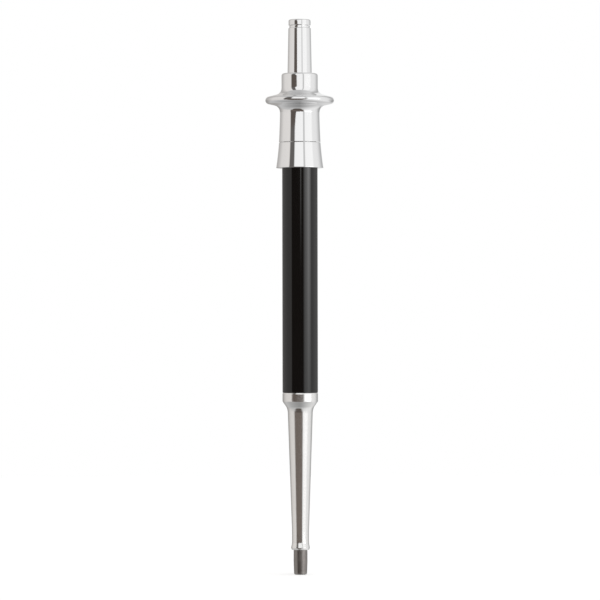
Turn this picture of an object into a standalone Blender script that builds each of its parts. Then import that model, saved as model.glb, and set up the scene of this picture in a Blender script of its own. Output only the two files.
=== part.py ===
"""Hand pipettor with a fixed volume, upright, tip cone down. Metres, +Z up.

The origin is the centre of the tip cone's open end. Every turned piece shares the Z axis, and the
three strokes (dispense, blow-out, tip ejection) all slide along it.
"""

import math

import bmesh
import bpy

# ---------------------------------------------------------------- clearances
SEAT_GAP = 0.0003  # between two faces that rest on each other
RUN_GAP = 0.00015  # radial, around a piece that slides or is pressed or screwed in
THREAD_GAP = 0.00015

# ---------------------------------------------------------------- strokes
DISPENSE_STROKE = 0.013
BLOWOUT_STROKE = 0.004
EJECT_STROKE = 0.005

# ---------------------------------------------------------------- tip cone and cylinder
TIP_CONE_LENGTH = 0.0111
TIP_END_RADIUS = 0.00292
TIP_CONE_RADIUS = 0.0031
TIP_EDGE_ROUND = 0.0005
AIR_BORE_RADIUS = 0.0008
CONE_SHOULDER = 0.0006  # how far the cone goes on inside the nose
STEM_RADIUS = 0.0019
STEM_LENGTH = 0.0082
GASKET_THICKNESS = 0.0008
TUBE_RADIUS = 0.0030  # cylinder, gland collar and shaft tube
PISTON_RADIUS = 0.001565  # 100 microlitres over the dispense stroke
PISTON_BORE_GAP = 0.0002
PISTON_SEAL_GAP = 0.00005
PISTON_END_SPACE = 0.0020  # left under the piston with all three strokes made
SEAL_BELOW_PISTON = 0.0012
SEAL_LENGTH = 0.0030
SEAL_RING_SPACE = 0.0001
TUBE_WALL = 0.00055
GLAND_COLLAR = 0.0017
GLAND_SPIGOT = 0.0042

# ---------------------------------------------------------------- nose sleeve
NOSE_NECK_WALL = 0.0005
NOSE_NECK_HEIGHT = 0.0050
NOSE_BEAD_STEP = 0.0004  # how far the bead stands out of the neck
NOSE_BEAD_HEIGHT = 0.0031
NOSE_CONE_WALL = 0.0014  # at the foot of the shoulder
NOSE_CONE_TOP = 0.0729
NOSE_SHOULDER_HEIGHT = 0.0046
NOSE_RING_HEIGHT = 0.0039
NOSE_BORE_GAP = 0.0002
NOSE_SPIGOT_HEIGHT = 0.0076
NOSE_BUSH_WALL = 0.0009
NOSE_BUSH_LENGTH = 0.0060
NOSE_BUSH_BELOW_TOP = 0.0165  # from the cone's top down to the bush

# ---------------------------------------------------------------- barrel and bulkhead
BARREL_RADIUS = 0.00795
BARREL_WALL = 0.0009
BARREL_VISIBLE = 0.1003
BARREL_IN_SKIRT = 0.0085
BULKHEAD_HEIGHT = 0.012
BULKHEAD_LIP = 0.0010
BULKHEAD_CLEARANCE = 0.0030  # from the nose spigot up to the bulkhead

# ---------------------------------------------------------------- ejector rods, yoke and cage
ROD_COUNT = 3
ROD_RADIUS = 0.00075
ROD_HOLE_DEPTH = 0.0046
NUT_HEIGHT = 0.0022
ROD_NUT_WALL = 0.00055
ROD_NUT_SPACE = 0.0002  # between a rod nut's corner and the barrel's bore
EJECTOR_SPRING_LENGTH = 0.0134
EJECTOR_SPRING_RADIUS = 0.0033
EJECTOR_SPRING_WIRE = 0.00075
EJECTOR_SPRING_TURNS = 7
YOKE_THICKNESS = 0.0030
YOKE_BOSS_HEIGHT = 0.0024
PISTON_PASS_GAP = 0.000435
CAGE_WALL = 0.0008
BLOWOUT_SPRING_LENGTH = 0.0100
BLOWOUT_SPRING_SPACE = 0.0009
BLOWOUT_SPRING_WIRE = 0.0009
BLOWOUT_SPRING_TURNS = 5.5
STOP_RING_HEIGHT = 0.0030
CAP_LIP_SPACE = 0.00055
CAP_SPIGOT_HEIGHT = 0.0010
CAP_FLANGE_HEIGHT = 0.0015

# ---------------------------------------------------------------- plunger rod
BUFFER_THICKNESS = 0.0010
STOP_COLLAR_HEIGHT = 0.0054
STOP_COLLAR_WALL = 0.00065
STOP_NUT_WALL = 0.00075
PISTON_SOCKET_WALL = 0.000485
PISTON_SOCKET_DEPTH = 0.0062
RETURN_SPRING_SPACE = 0.00035  # between the lock nut's corners and the spring
RETURN_SPRING_WIRE = 0.0007
RETURN_SPRING_TURNS = 14
SPRING_CAP_SPACE = 0.0005  # between the spring cap and the head core's bore
SPRING_CAP_HEIGHT = 0.0020
CIRCLIP_BELOW_STOP = 0.0149  # from the plunger sleeve's stop down to the circlip
CIRCLIP_THICKNESS = 0.0006
CIRCLIP_STEP = 0.0010  # how far the circlip stands out of the rod
CIRCLIP_OPENING = 0.0020
CIRCLIP_GROOVE_DEPTH = 0.0004

# ---------------------------------------------------------------- head
SKIRT_FLARE = 0.00121
SKIRT_HEIGHT = 0.0116
SKIRT_HOLLOW = 0.0001  # how far the skirt's flank bows in
SKIRT_LIP = 0.0010
SKIRT_CLEARANCE = 0.00025
CORE_WALL = 0.0008
CORE_BELOW_BARREL_TOP = 0.0125
CORE_FLANGE_HEIGHT = 0.0015
CORE_FLANGE_STEP = 0.0010  # how far the core's flange stands out over the barrel's end
CORE_SPIGOT_WALL = 0.0011
SLEEVE_WALL = 0.00152
SLEEVE_FLARE = 0.00047
SLEEVE_TAPER = 0.0086
SLEEVE_HEIGHT = 0.0130
FLANGE_RADIUS = 0.0154
FLANGE_RIM_RADIUS = 0.0011
FLANGE_UNDER_FILLET = 0.0033
FLANGE_TOP_FILLET = 0.0032
FLANGE_UNDER_RISE = 0.0010
FLANGE_TOP_RISE = 0.0013
COLLAR_WALL = 0.0015
COLLAR_HEIGHT = 0.0065
COLLAR_EDGE_ROUND = 0.0011
COLLAR_LIP = 0.0021
BUSH_WALL = 0.0009

# ---------------------------------------------------------------- plunger sleeve and thumb cap
PLUNGER_LEFT_OUT = 0.0021  # of the plunger, with all three strokes made
PLUNGER_TAPER = 0.0004
PLUNGER_STOP_STEP = 0.00035
PLUNGER_STOP_SPACE = 0.0003  # between the stop and the head core's bore
PLUNGER_STOP_HEIGHT = 0.0025
GROOVE_DEPTH = 0.00042
GROOVE_HEIGHT = 0.0010
CAP_INSET = 0.00009
CAP_SPIGOT_WALL = 0.0014
CAP_HEIGHT = 0.0026
CAP_EDGE_ROUND = 0.0008
CAP_SPIGOT_LENGTH = 0.0078
CAP_SOLID_TOP = 0.0047

# ---------------------------------------------------------------- fineness
ROUND_STEPS = 32
INNER_STEPS = 20
SMALL_STEPS = 14
TURN_STEPS = 10
SHARP_ANGLE = math.radians(35)
MERGE_DISTANCE = 1e-7

# ---------------------------------------------------------------- radii, from the inside outwards
CHAMBER_RADIUS = PISTON_RADIUS + PISTON_BORE_GAP
SEAL_BORE = PISTON_RADIUS + PISTON_SEAL_GAP
PISTON_PASS_RADIUS = PISTON_RADIUS + PISTON_PASS_GAP
CUP_RADIUS = TUBE_RADIUS - TUBE_WALL
SEAL_RING_WIRE = (CUP_RADIUS - PISTON_RADIUS) / 2 - SEAL_RING_SPACE
STEM_BORE = STEM_RADIUS + THREAD_GAP
NOSE_BORE = max(TIP_CONE_RADIUS, TUBE_RADIUS + NOSE_BORE_GAP / 2) + NOSE_BORE_GAP
NOSE_NECK_RADIUS = NOSE_BORE + NOSE_NECK_WALL
NOSE_BEAD_RADIUS = NOSE_NECK_RADIUS + NOSE_BEAD_STEP
NOSE_BUSH_BORE = TUBE_RADIUS + RUN_GAP
NOSE_BUSH_RADIUS = NOSE_BUSH_BORE + NOSE_BUSH_WALL
NOSE_WIDE_BORE = NOSE_BUSH_RADIUS + RUN_GAP
NOSE_CONE_RADIUS = NOSE_WIDE_BORE + NOSE_CONE_WALL
BARREL_BORE = BARREL_RADIUS - BARREL_WALL
INSERT_RADIUS = BARREL_BORE - RUN_GAP  # anything pressed or screwed into the barrel
YOKE_RADIUS = INSERT_RADIUS - RUN_GAP
CAGE_RADIUS = YOKE_RADIUS
CAGE_BORE = CAGE_RADIUS - CAGE_WALL
CAGE_SPIGOT_RADIUS = CAGE_BORE - THREAD_GAP
STOP_RING_RADIUS = CAGE_BORE - 2 * RUN_GAP
BLOWOUT_SPRING_RADIUS = CAGE_BORE - BLOWOUT_SPRING_SPACE - BLOWOUT_SPRING_WIRE / 2
ROD_BORE = ROD_RADIUS + RUN_GAP
ROD_NUT_RADIUS = ROD_RADIUS + ROD_NUT_WALL
ROD_CIRCLE_RADIUS = BARREL_BORE - ROD_NUT_SPACE - ROD_NUT_RADIUS
PISTON_SOCKET_BORE = PISTON_RADIUS + THREAD_GAP
PLUNGER_ROD_RADIUS = PISTON_SOCKET_BORE + PISTON_SOCKET_WALL
CIRCLIP_RADIUS = PLUNGER_ROD_RADIUS + CIRCLIP_STEP
ROD_SOCKET_BORE = PLUNGER_ROD_RADIUS + THREAD_GAP
STOP_COLLAR_RADIUS = ROD_SOCKET_BORE + STOP_COLLAR_WALL
STOP_NUT_RADIUS = ROD_SOCKET_BORE + STOP_NUT_WALL
RETURN_SPRING_RADIUS = STOP_NUT_RADIUS + RETURN_SPRING_SPACE + RETURN_SPRING_WIRE / 2
CAP_LIP_RADIUS = RETURN_SPRING_RADIUS + RETURN_SPRING_WIRE / 2 + CAP_LIP_SPACE
CORE_RADIUS = INSERT_RADIUS
CORE_BORE = CORE_RADIUS - CORE_WALL
SPRING_CAP_RADIUS = CORE_BORE - SPRING_CAP_SPACE
CORE_FLANGE_RADIUS = CORE_RADIUS + CORE_FLANGE_STEP
CORE_SPIGOT_RADIUS = CORE_BORE + CORE_SPIGOT_WALL
SPIGOT_BORE = CORE_SPIGOT_RADIUS + THREAD_GAP
SLEEVE_RADIUS = SPIGOT_BORE + SLEEVE_WALL
SLEEVE_BOTTOM_RADIUS = SLEEVE_RADIUS + SLEEVE_FLARE
SKIRT_BORE = BARREL_RADIUS + SKIRT_CLEARANCE
SKIRT_TOP_RADIUS = SLEEVE_BOTTOM_RADIUS
SKIRT_BOTTOM_RADIUS = SKIRT_TOP_RADIUS + SKIRT_FLARE
PLUNGER_STOP_RADIUS = CORE_BORE - PLUNGER_STOP_SPACE
PLUNGER_RADIUS = PLUNGER_STOP_RADIUS - PLUNGER_STOP_STEP
PLUNGER_TOP_RADIUS = PLUNGER_RADIUS - PLUNGER_TAPER
GROOVE_RADIUS = PLUNGER_TOP_RADIUS - GROOVE_DEPTH
THUMB_CAP_RADIUS = PLUNGER_TOP_RADIUS - CAP_INSET
CAP_SPIGOT_RADIUS = ROD_SOCKET_BORE + CAP_SPIGOT_WALL
PLUNGER_BORE_RADIUS = CAP_SPIGOT_RADIUS + THREAD_GAP
BUSH_BORE = PLUNGER_RADIUS + RUN_GAP
BUSH_RADIUS = BUSH_BORE + BUSH_WALL
BUSH_SEAT_RADIUS = BUSH_RADIUS + RUN_GAP
LIP_BORE = PLUNGER_RADIUS + 2 * RUN_GAP
COLLAR_RADIUS = BUSH_SEAT_RADIUS + COLLAR_WALL

# ---------------------------------------------------------------- levels, from the tip cone upwards
TOTAL_STROKE = DISPENSE_STROKE + BLOWOUT_STROKE + EJECT_STROKE
NOSE_BOTTOM = TIP_CONE_LENGTH
CONE_TOP = TIP_CONE_LENGTH + CONE_SHOULDER
GASKET_BOTTOM = CONE_TOP + SEAT_GAP
CYLINDER_BOTTOM = GASKET_BOTTOM + GASKET_THICKNESS + SEAT_GAP
STEM_TOP = CYLINDER_BOTTOM + STEM_LENGTH - SEAT_GAP
CHAMBER_BOTTOM = STEM_TOP + SEAT_GAP
PISTON_BOTTOM = CHAMBER_BOTTOM + PISTON_END_SPACE + TOTAL_STROKE
CHAMBER_TOP = PISTON_BOTTOM + SEAL_BELOW_PISTON
SEAL_BOTTOM = CHAMBER_TOP + SEAT_GAP
RING_BOTTOM = SEAL_BOTTOM + SEAL_LENGTH + SEAT_GAP
GLAND_BOTTOM = RING_BOTTOM + 2 * SEAL_RING_WIRE + SEAT_GAP
CYLINDER_TOP = GLAND_BOTTOM + GLAND_COLLAR
GLAND_COLLAR_BOTTOM = CYLINDER_TOP + SEAT_GAP
SHAFT_TUBE_BOTTOM = GLAND_COLLAR_BOTTOM + GLAND_COLLAR + SEAT_GAP
GLAND_TOP = SHAFT_TUBE_BOTTOM + GLAND_SPIGOT

NOSE_RING_BOTTOM = NOSE_CONE_TOP + NOSE_SHOULDER_HEIGHT
NOSE_RING_TOP = NOSE_RING_BOTTOM + NOSE_RING_HEIGHT
NOSE_SPIGOT_TOP = NOSE_RING_TOP + NOSE_SPIGOT_HEIGHT
NOSE_BUSH_BOTTOM = NOSE_CONE_TOP - NOSE_BUSH_BELOW_TOP
BARREL_BOTTOM = NOSE_RING_TOP + SEAT_GAP
SKIRT_BOTTOM = BARREL_BOTTOM + BARREL_VISIBLE
BARREL_TOP = SKIRT_BOTTOM + BARREL_IN_SKIRT
BULKHEAD_BOTTOM = NOSE_SPIGOT_TOP + BULKHEAD_CLEARANCE
BULKHEAD_TOP = BULKHEAD_BOTTOM + BULKHEAD_HEIGHT
SHAFT_TUBE_TOP = BULKHEAD_TOP - BULKHEAD_LIP - SEAT_GAP

EJECTOR_SPRING_BOTTOM = BULKHEAD_TOP + SEAT_GAP
YOKE_BOTTOM = EJECTOR_SPRING_BOTTOM + EJECTOR_SPRING_LENGTH + SEAT_GAP
YOKE_TOP = YOKE_BOTTOM + YOKE_THICKNESS
BOSS_TOP = YOKE_TOP + YOKE_BOSS_HEIGHT
ROD_BOTTOM = NOSE_SPIGOT_TOP - ROD_HOLE_DEPTH + SEAT_GAP
ROD_TOP = YOKE_TOP - SEAT_GAP * 2
ROD_NUT_TOP = YOKE_BOTTOM - SEAT_GAP
BLOWOUT_SPRING_BOTTOM = BOSS_TOP + SEAT_GAP
STOP_RING_BOTTOM = BLOWOUT_SPRING_BOTTOM + BLOWOUT_SPRING_LENGTH + SEAT_GAP
STOP_RING_TOP = STOP_RING_BOTTOM + STOP_RING_HEIGHT
CAP_LIP_BOTTOM = STOP_RING_TOP + SEAT_GAP
CAGE_BOTTOM = YOKE_TOP + SEAT_GAP
CAGE_TOP = CAP_LIP_BOTTOM + CAP_SPIGOT_HEIGHT
CAP_TOP = CAGE_TOP + SEAT_GAP + CAP_FLANGE_HEIGHT

BUFFER_BOTTOM = STOP_RING_TOP + SEAT_GAP
BUFFER_TOP = BUFFER_BOTTOM + BUFFER_THICKNESS
ROD_END = BUFFER_TOP + SEAT_GAP + DISPENSE_STROKE
STOP_COLLAR_TOP = ROD_END + STOP_COLLAR_HEIGHT
STOP_NUT_BOTTOM = STOP_COLLAR_TOP + SEAT_GAP
RETURN_SPRING_BOTTOM = STOP_RING_TOP + SEAT_GAP

CORE_FLANGE_BOTTOM = BARREL_TOP + SEAT_GAP
CORE_FLANGE_TOP = CORE_FLANGE_BOTTOM + CORE_FLANGE_HEIGHT
SKIRT_TOP = SKIRT_BOTTOM + SKIRT_HEIGHT
SKIRT_LIP_BOTTOM = SKIRT_TOP - SKIRT_LIP
SLEEVE_BOTTOM = SKIRT_TOP + SEAT_GAP
SLEEVE_TOP = SLEEVE_BOTTOM + SLEEVE_HEIGHT
FLANGE_UNDER = SLEEVE_TOP + FLANGE_UNDER_FILLET
FLANGE_RIM_MIDDLE = FLANGE_UNDER + FLANGE_UNDER_RISE + FLANGE_RIM_RADIUS
FLANGE_TOP = FLANGE_RIM_MIDDLE + FLANGE_RIM_RADIUS + FLANGE_TOP_RISE
COLLAR_BOTTOM = FLANGE_TOP + FLANGE_TOP_FILLET
COLLAR_TOP = COLLAR_BOTTOM + COLLAR_HEIGHT
BUSH_TOP = COLLAR_TOP - COLLAR_LIP - SEAT_GAP
CORE_TOP = SLEEVE_TOP - SEAT_GAP
BUSH_BOTTOM = CORE_TOP + SEAT_GAP
STOP_FLANGE_TOP = BUSH_BOTTOM - SEAT_GAP
STOP_FLANGE_BOTTOM = STOP_FLANGE_TOP - PLUNGER_STOP_HEIGHT
THUMB_CAP_TOP = COLLAR_TOP + TOTAL_STROKE + PLUNGER_LEFT_OUT
THUMB_CAP_BOTTOM = THUMB_CAP_TOP - CAP_HEIGHT
PLUNGER_SLEEVE_TOP = THUMB_CAP_BOTTOM - SEAT_GAP
PLUNGER_CONE_TOP = PLUNGER_SLEEVE_TOP - GROOVE_HEIGHT
PLUNGER_ROD_TOP = THUMB_CAP_TOP - CAP_SOLID_TOP - SEAT_GAP
CIRCLIP_TOP = STOP_FLANGE_BOTTOM - CIRCLIP_BELOW_STOP
CIRCLIP_BOTTOM = CIRCLIP_TOP - CIRCLIP_THICKNESS
SPRING_CAP_TOP = CIRCLIP_BOTTOM - SEAT_GAP
SPRING_CAP_BOTTOM = SPRING_CAP_TOP - SPRING_CAP_HEIGHT
RETURN_SPRING_LENGTH = SPRING_CAP_BOTTOM - SEAT_GAP - RETURN_SPRING_BOTTOM

# ---------------------------------------------------------------- finishes
def finish(name, colour, roughness, metallic):
    """A Principled material: what the piece is made of, how rough it is, and whether it is a metal."""
    material = bpy.data.materials.new(name)
    material.use_nodes = True
    shader = material.node_tree.nodes["Principled BSDF"]
    shader.inputs["Base Color"].default_value = (*colour, 1.0)
    shader.inputs["Roughness"].default_value = roughness
    shader.inputs["Metallic"].default_value = metallic
    material.diffuse_color = (*colour, 1.0)
    return material


def make_finishes():
    return {
        "polished": finish("polished_chrome", (0.86, 0.86, 0.84), 0.08, 1.0),
        "satin": finish("satin_aluminium", (0.80, 0.80, 0.78), 0.32, 1.0),
        "black": finish("black_anodised", (0.015, 0.014, 0.013), 0.30, 0.4),
        "dark_steel": finish("dark_steel", (0.20, 0.19, 0.18), 0.34, 1.0),
        "steel": finish("stainless_steel", (0.62, 0.62, 0.61), 0.25, 1.0),
        "spring": finish("spring_steel", (0.48, 0.48, 0.47), 0.30, 1.0),
        "brass": finish("brass", (0.76, 0.58, 0.30), 0.28, 1.0),
        "acetal": finish("white_acetal", (0.85, 0.84, 0.80), 0.45, 0.0),
        "rubber": finish("black_rubber", (0.03, 0.03, 0.03), 0.75, 0.0),
    }


# ---------------------------------------------------------------- shape helpers
def arc(centre_r, centre_z, radius, start_deg, end_deg, steps):
    """Points of an arc in the (r, z) half-plane, both ends included."""
    points = []
    for i in range(steps + 1):
        angle = math.radians(start_deg + (end_deg - start_deg) * i / steps)
        points.append((centre_r + radius * math.cos(angle), centre_z + radius * math.sin(angle)))
    return points


def add_object(name, mesh, base, material, parent):
    """Links the mesh as one object whose own origin is on the Z axis, at the piece's base."""
    obj = bpy.data.objects.new(name, mesh)
    bpy.context.scene.collection.objects.link(obj)
    obj.location = (0.0, 0.0, base - (parent.location.z if parent else 0.0))
    obj.parent = parent
    if material:
        mesh.materials.append(material)
    return obj


def shade(mesh):
    mesh.shade_smooth()
    mesh.set_sharp_from_angle(angle=SHARP_ANGLE)


def turned(name, outline, material, parent=None, steps=INNER_STEPS):
    """Spins a closed outline of (r, z) points about the Z axis into one solid."""
    base = min(z for _, z in outline)
    bm = bmesh.new()
    verts = [bm.verts.new((r, 0.0, z - base)) for r, z in outline]
    edges = [bm.edges.new((verts[i], verts[(i + 1) % len(verts)])) for i in range(len(verts))]
    bmesh.ops.spin(
        bm, geom=verts + edges, axis=(0, 0, 1), cent=(0, 0, 0), angle=math.tau, steps=steps
    )
    bmesh.ops.remove_doubles(bm, verts=bm.verts, dist=MERGE_DISTANCE)
    bmesh.ops.recalc_face_normals(bm, faces=bm.faces)
    mesh = bpy.data.meshes.new(name)
    bm.to_mesh(mesh)
    bm.free()
    shade(mesh)
    return add_object(name, mesh, base, material, parent)


def ring(name, inner, outer, bottom, top, material, parent=None, steps=INNER_STEPS):
    outline = [(inner, bottom), (outer, bottom), (outer, top), (inner, top)]
    return turned(name, outline, material, parent, steps)


def prism(name, radius, bottom, top, sides, centre=(0.0, 0.0), material=None, parent=None):
    """A capped prism with its corners on a circle of this radius."""
    bm = bmesh.new()
    bmesh.ops.create_cone(
        bm, cap_ends=True, segments=sides, radius1=radius, radius2=radius, depth=top - bottom
    )
    bmesh.ops.translate(bm, verts=bm.verts, vec=(centre[0], centre[1], (top - bottom) / 2))
    mesh = bpy.data.meshes.new(name)
    bm.to_mesh(mesh)
    bm.free()
    shade(mesh)
    return add_object(name, mesh, bottom, material, parent)


def as_cutter(obj):
    obj.hide_render = True
    obj.display_type = "WIRE"
    return obj


def cut(obj, cutter):
    """Leaves a live exact Boolean on the piece."""
    modifier = obj.modifiers.new("cut_" + cutter.name, "BOOLEAN")
    modifier.operation = "DIFFERENCE"
    modifier.solver = "EXACT"
    modifier.object = as_cutter(cutter)


def round_hole(obj, radius, bottom, top, centre=(0.0, 0.0)):
    number = len(obj.modifiers) + 1
    name = f"{obj.name}_hole_{number}"
    cut(obj, prism(name, radius, bottom, top, SMALL_STEPS, centre, None, obj.parent))


def spring(name, bottom, length, radius, wire, turns, material, parent):
    """A compression spring with a closed turn at each end, as a bevelled curve."""
    count = int(turns * TURN_STEPS)
    end_pitch = wire * 1.15
    free_turns = turns - 2
    pitch = (length - wire - 2 * end_pitch) / free_turns
    curve = bpy.data.curves.new(name, "CURVE")
    curve.dimensions = "3D"
    curve.bevel_depth = wire / 2
    curve.bevel_resolution = 1
    curve.use_fill_caps = True
    curve.twist_mode = "Z_UP"
    line = curve.splines.new("POLY")
    line.points.add(count)
    for i in range(count + 1):
        turn = turns * i / count
        climb = end_pitch * (min(turn, 1.0) + max(0.0, turn - turns + 1.0))
        climb += pitch * min(max(turn - 1.0, 0.0), free_turns)
        angle = math.tau * turn
        place = (radius * math.cos(angle), radius * math.sin(angle), wire / 2 + climb)
        line.points[i].co = (*place, 1.0)
    curve.materials.append(material)
    obj = bpy.data.objects.new(name, curve)
    bpy.context.scene.collection.objects.link(obj)
    obj.parent = parent
    obj.location = (0.0, 0.0, bottom - (parent.location.z if parent else 0.0))
    return obj


def axis_empty(name, level):
    """An empty on a joint's axis, which the pieces that move together hang from."""
    empty = bpy.data.objects.new(name, None)
    empty.empty_display_size = BARREL_RADIUS
    empty.location = (0.0, 0.0, level)
    bpy.context.scene.collection.objects.link(empty)
    return empty


# ---------------------------------------------------------------- tip end
def tip_cone(finishes):
    outline = [(AIR_BORE_RADIUS, 0.0)]
    outline += arc(
        TIP_END_RADIUS - TIP_EDGE_ROUND, TIP_EDGE_ROUND, TIP_EDGE_ROUND, -90, 0, 4
    )
    outline += [(TIP_CONE_RADIUS, TIP_CONE_LENGTH * 0.55), (TIP_CONE_RADIUS, CONE_TOP)]
    outline += [(STEM_RADIUS, CONE_TOP), (STEM_RADIUS, STEM_TOP), (AIR_BORE_RADIUS, STEM_TOP)]
    return turned("tip_cone", outline, finishes["dark_steel"])


def tip_cone_gasket(finishes):
    top = GASKET_BOTTOM + GASKET_THICKNESS
    return ring("tip_cone_gasket", STEM_BORE, TUBE_RADIUS, GASKET_BOTTOM, top, finishes["rubber"])


def cylinder_tube(finishes):
    outline = [
        (STEM_BORE, CYLINDER_BOTTOM),
        (TUBE_RADIUS, CYLINDER_BOTTOM),
        (TUBE_RADIUS, CYLINDER_TOP),
        (CUP_RADIUS, CYLINDER_TOP),
        (CUP_RADIUS, CHAMBER_TOP),
        (CHAMBER_RADIUS, CHAMBER_TOP),
        (CHAMBER_RADIUS, CHAMBER_BOTTOM),
        (STEM_BORE, CHAMBER_BOTTOM),
    ]
    return turned("cylinder_tube", outline, finishes["steel"])


def piston_seal(finishes):
    top = SEAL_BOTTOM + SEAL_LENGTH
    outer = CUP_RADIUS - RUN_GAP
    return ring("piston_seal", SEAL_BORE, outer, SEAL_BOTTOM, top, finishes["acetal"])


def seal_o_ring(finishes):
    middle = (PISTON_RADIUS + CUP_RADIUS) / 2
    outline = arc(middle, RING_BOTTOM + SEAL_RING_WIRE, SEAL_RING_WIRE, 0, 315, 7)
    return turned("seal_o_ring", outline, finishes["rubber"], steps=SMALL_STEPS)


def seal_gland(finishes):
    spigot = CUP_RADIUS - THREAD_GAP
    collar_top = GLAND_COLLAR_BOTTOM + GLAND_COLLAR
    outline = [
        (CHAMBER_RADIUS, GLAND_BOTTOM),
        (spigot, GLAND_BOTTOM),
        (spigot, GLAND_COLLAR_BOTTOM),
        (TUBE_RADIUS, GLAND_COLLAR_BOTTOM),
        (TUBE_RADIUS, collar_top),
        (spigot, collar_top),
        (spigot, GLAND_TOP),
        (CHAMBER_RADIUS, GLAND_TOP),
    ]
    return turned("seal_gland", outline, finishes["brass"])


def shaft_tube(finishes):
    return ring(
        "shaft_tube", CUP_RADIUS, TUBE_RADIUS, SHAFT_TUBE_BOTTOM, SHAFT_TUBE_TOP, finishes["steel"]
    )


# ---------------------------------------------------------------- body
def barrel(finishes):
    return ring(
        "barrel", BARREL_BORE, BARREL_RADIUS, BARREL_BOTTOM, BARREL_TOP, finishes["black"],
        steps=ROUND_STEPS,
    )


def rod_places():
    for i in range(ROD_COUNT):
        angle = math.tau * i / ROD_COUNT + math.pi / 2
        yield i + 1, (ROD_CIRCLE_RADIUS * math.cos(angle), ROD_CIRCLE_RADIUS * math.sin(angle))


def bulkhead(finishes):
    tube_bore = TUBE_RADIUS + THREAD_GAP
    lip = BULKHEAD_TOP - BULKHEAD_LIP
    outline = [
        (tube_bore, BULKHEAD_BOTTOM),
        (INSERT_RADIUS, BULKHEAD_BOTTOM),
        (INSERT_RADIUS, BULKHEAD_TOP),
        (PISTON_PASS_RADIUS, BULKHEAD_TOP),
        (PISTON_PASS_RADIUS, lip),
        (tube_bore, lip),
    ]
    obj = turned("bulkhead", outline, finishes["brass"], steps=ROUND_STEPS)
    for _, place in rod_places():
        round_hole(
            obj, ROD_BORE, BULKHEAD_BOTTOM - SEAT_GAP * 3, BULKHEAD_TOP + SEAT_GAP * 3, place
        )
    return obj


def head_core(finishes):
    bottom = BARREL_TOP - CORE_BELOW_BARREL_TOP
    outline = [
        (CORE_BORE, bottom),
        (CORE_RADIUS, bottom),
        (CORE_RADIUS, CORE_FLANGE_BOTTOM),
        (CORE_FLANGE_RADIUS, CORE_FLANGE_BOTTOM),
        (CORE_FLANGE_RADIUS, CORE_FLANGE_TOP),
        (CORE_SPIGOT_RADIUS, CORE_FLANGE_TOP),
        (CORE_SPIGOT_RADIUS, CORE_TOP),
        (CORE_BORE, CORE_TOP),
    ]
    return turned("head_core", outline, finishes["steel"], steps=ROUND_STEPS)


def head_skirt(finishes):
    middle_radius = (SKIRT_BOTTOM_RADIUS + SKIRT_TOP_RADIUS) / 2 - SKIRT_HOLLOW
    outline = [
        (SKIRT_BORE, SKIRT_BOTTOM),
        (SKIRT_BOTTOM_RADIUS - SEAT_GAP, SKIRT_BOTTOM),
        (SKIRT_BOTTOM_RADIUS, SKIRT_BOTTOM + SEAT_GAP),
        (middle_radius, (SKIRT_BOTTOM + SKIRT_TOP) / 2),
        (SKIRT_TOP_RADIUS, SKIRT_TOP),
        (SPIGOT_BORE, SKIRT_TOP),
        (SPIGOT_BORE, SKIRT_LIP_BOTTOM),
        (SKIRT_BORE, SKIRT_LIP_BOTTOM),
    ]
    return turned("head_skirt", outline, finishes["polished"], steps=ROUND_STEPS)


def finger_flange(finishes):
    under_r = SLEEVE_RADIUS + FLANGE_UNDER_FILLET
    top_r = COLLAR_RADIUS + FLANGE_TOP_FILLET
    rim_r = FLANGE_RADIUS - FLANGE_RIM_RADIUS
    edge_r = COLLAR_RADIUS - COLLAR_EDGE_ROUND
    edge_z = COLLAR_TOP - COLLAR_EDGE_ROUND
    outline = [(SPIGOT_BORE, SLEEVE_BOTTOM), (SLEEVE_BOTTOM_RADIUS, SLEEVE_BOTTOM)]
    outline += [(SLEEVE_RADIUS, SLEEVE_BOTTOM + SLEEVE_TAPER)]
    outline += arc(under_r, SLEEVE_TOP, FLANGE_UNDER_FILLET, 180, 90, 5)
    outline += arc(rim_r, FLANGE_RIM_MIDDLE, FLANGE_RIM_RADIUS, -70, 70, 6)
    outline += arc(top_r, COLLAR_BOTTOM, FLANGE_TOP_FILLET, 270, 180, 5)
    outline += arc(edge_r, edge_z, COLLAR_EDGE_ROUND, 0, 90, 4)
    outline += [(LIP_BORE, COLLAR_TOP), (LIP_BORE, COLLAR_TOP - COLLAR_LIP)]
    outline += [(BUSH_SEAT_RADIUS, COLLAR_TOP - COLLAR_LIP)]
    outline += [(BUSH_SEAT_RADIUS, BUSH_BOTTOM), (SPIGOT_BORE, BUSH_BOTTOM)]
    return turned("finger_flange", outline, finishes["polished"], steps=ROUND_STEPS)


def plunger_bush(finishes):
    return ring(
        "plunger_bush", BUSH_BORE, BUSH_RADIUS, BUSH_BOTTOM, BUSH_TOP, finishes["acetal"],
        steps=ROUND_STEPS,
    )


def handle_pieces(finishes):
    tip_cone(finishes)
    tip_cone_gasket(finishes)
    cylinder_tube(finishes)
    piston_seal(finishes)
    seal_o_ring(finishes)
    seal_gland(finishes)
    shaft_tube(finishes)
    barrel(finishes)
    bulkhead(finishes)
    head_core(finishes)
    head_skirt(finishes)
    finger_flange(finishes)
    plunger_bush(finishes)
    spring(
        "ejector_spring", EJECTOR_SPRING_BOTTOM, EJECTOR_SPRING_LENGTH, EJECTOR_SPRING_RADIUS,
        EJECTOR_SPRING_WIRE, EJECTOR_SPRING_TURNS, finishes["spring"], None,
    )


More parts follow.
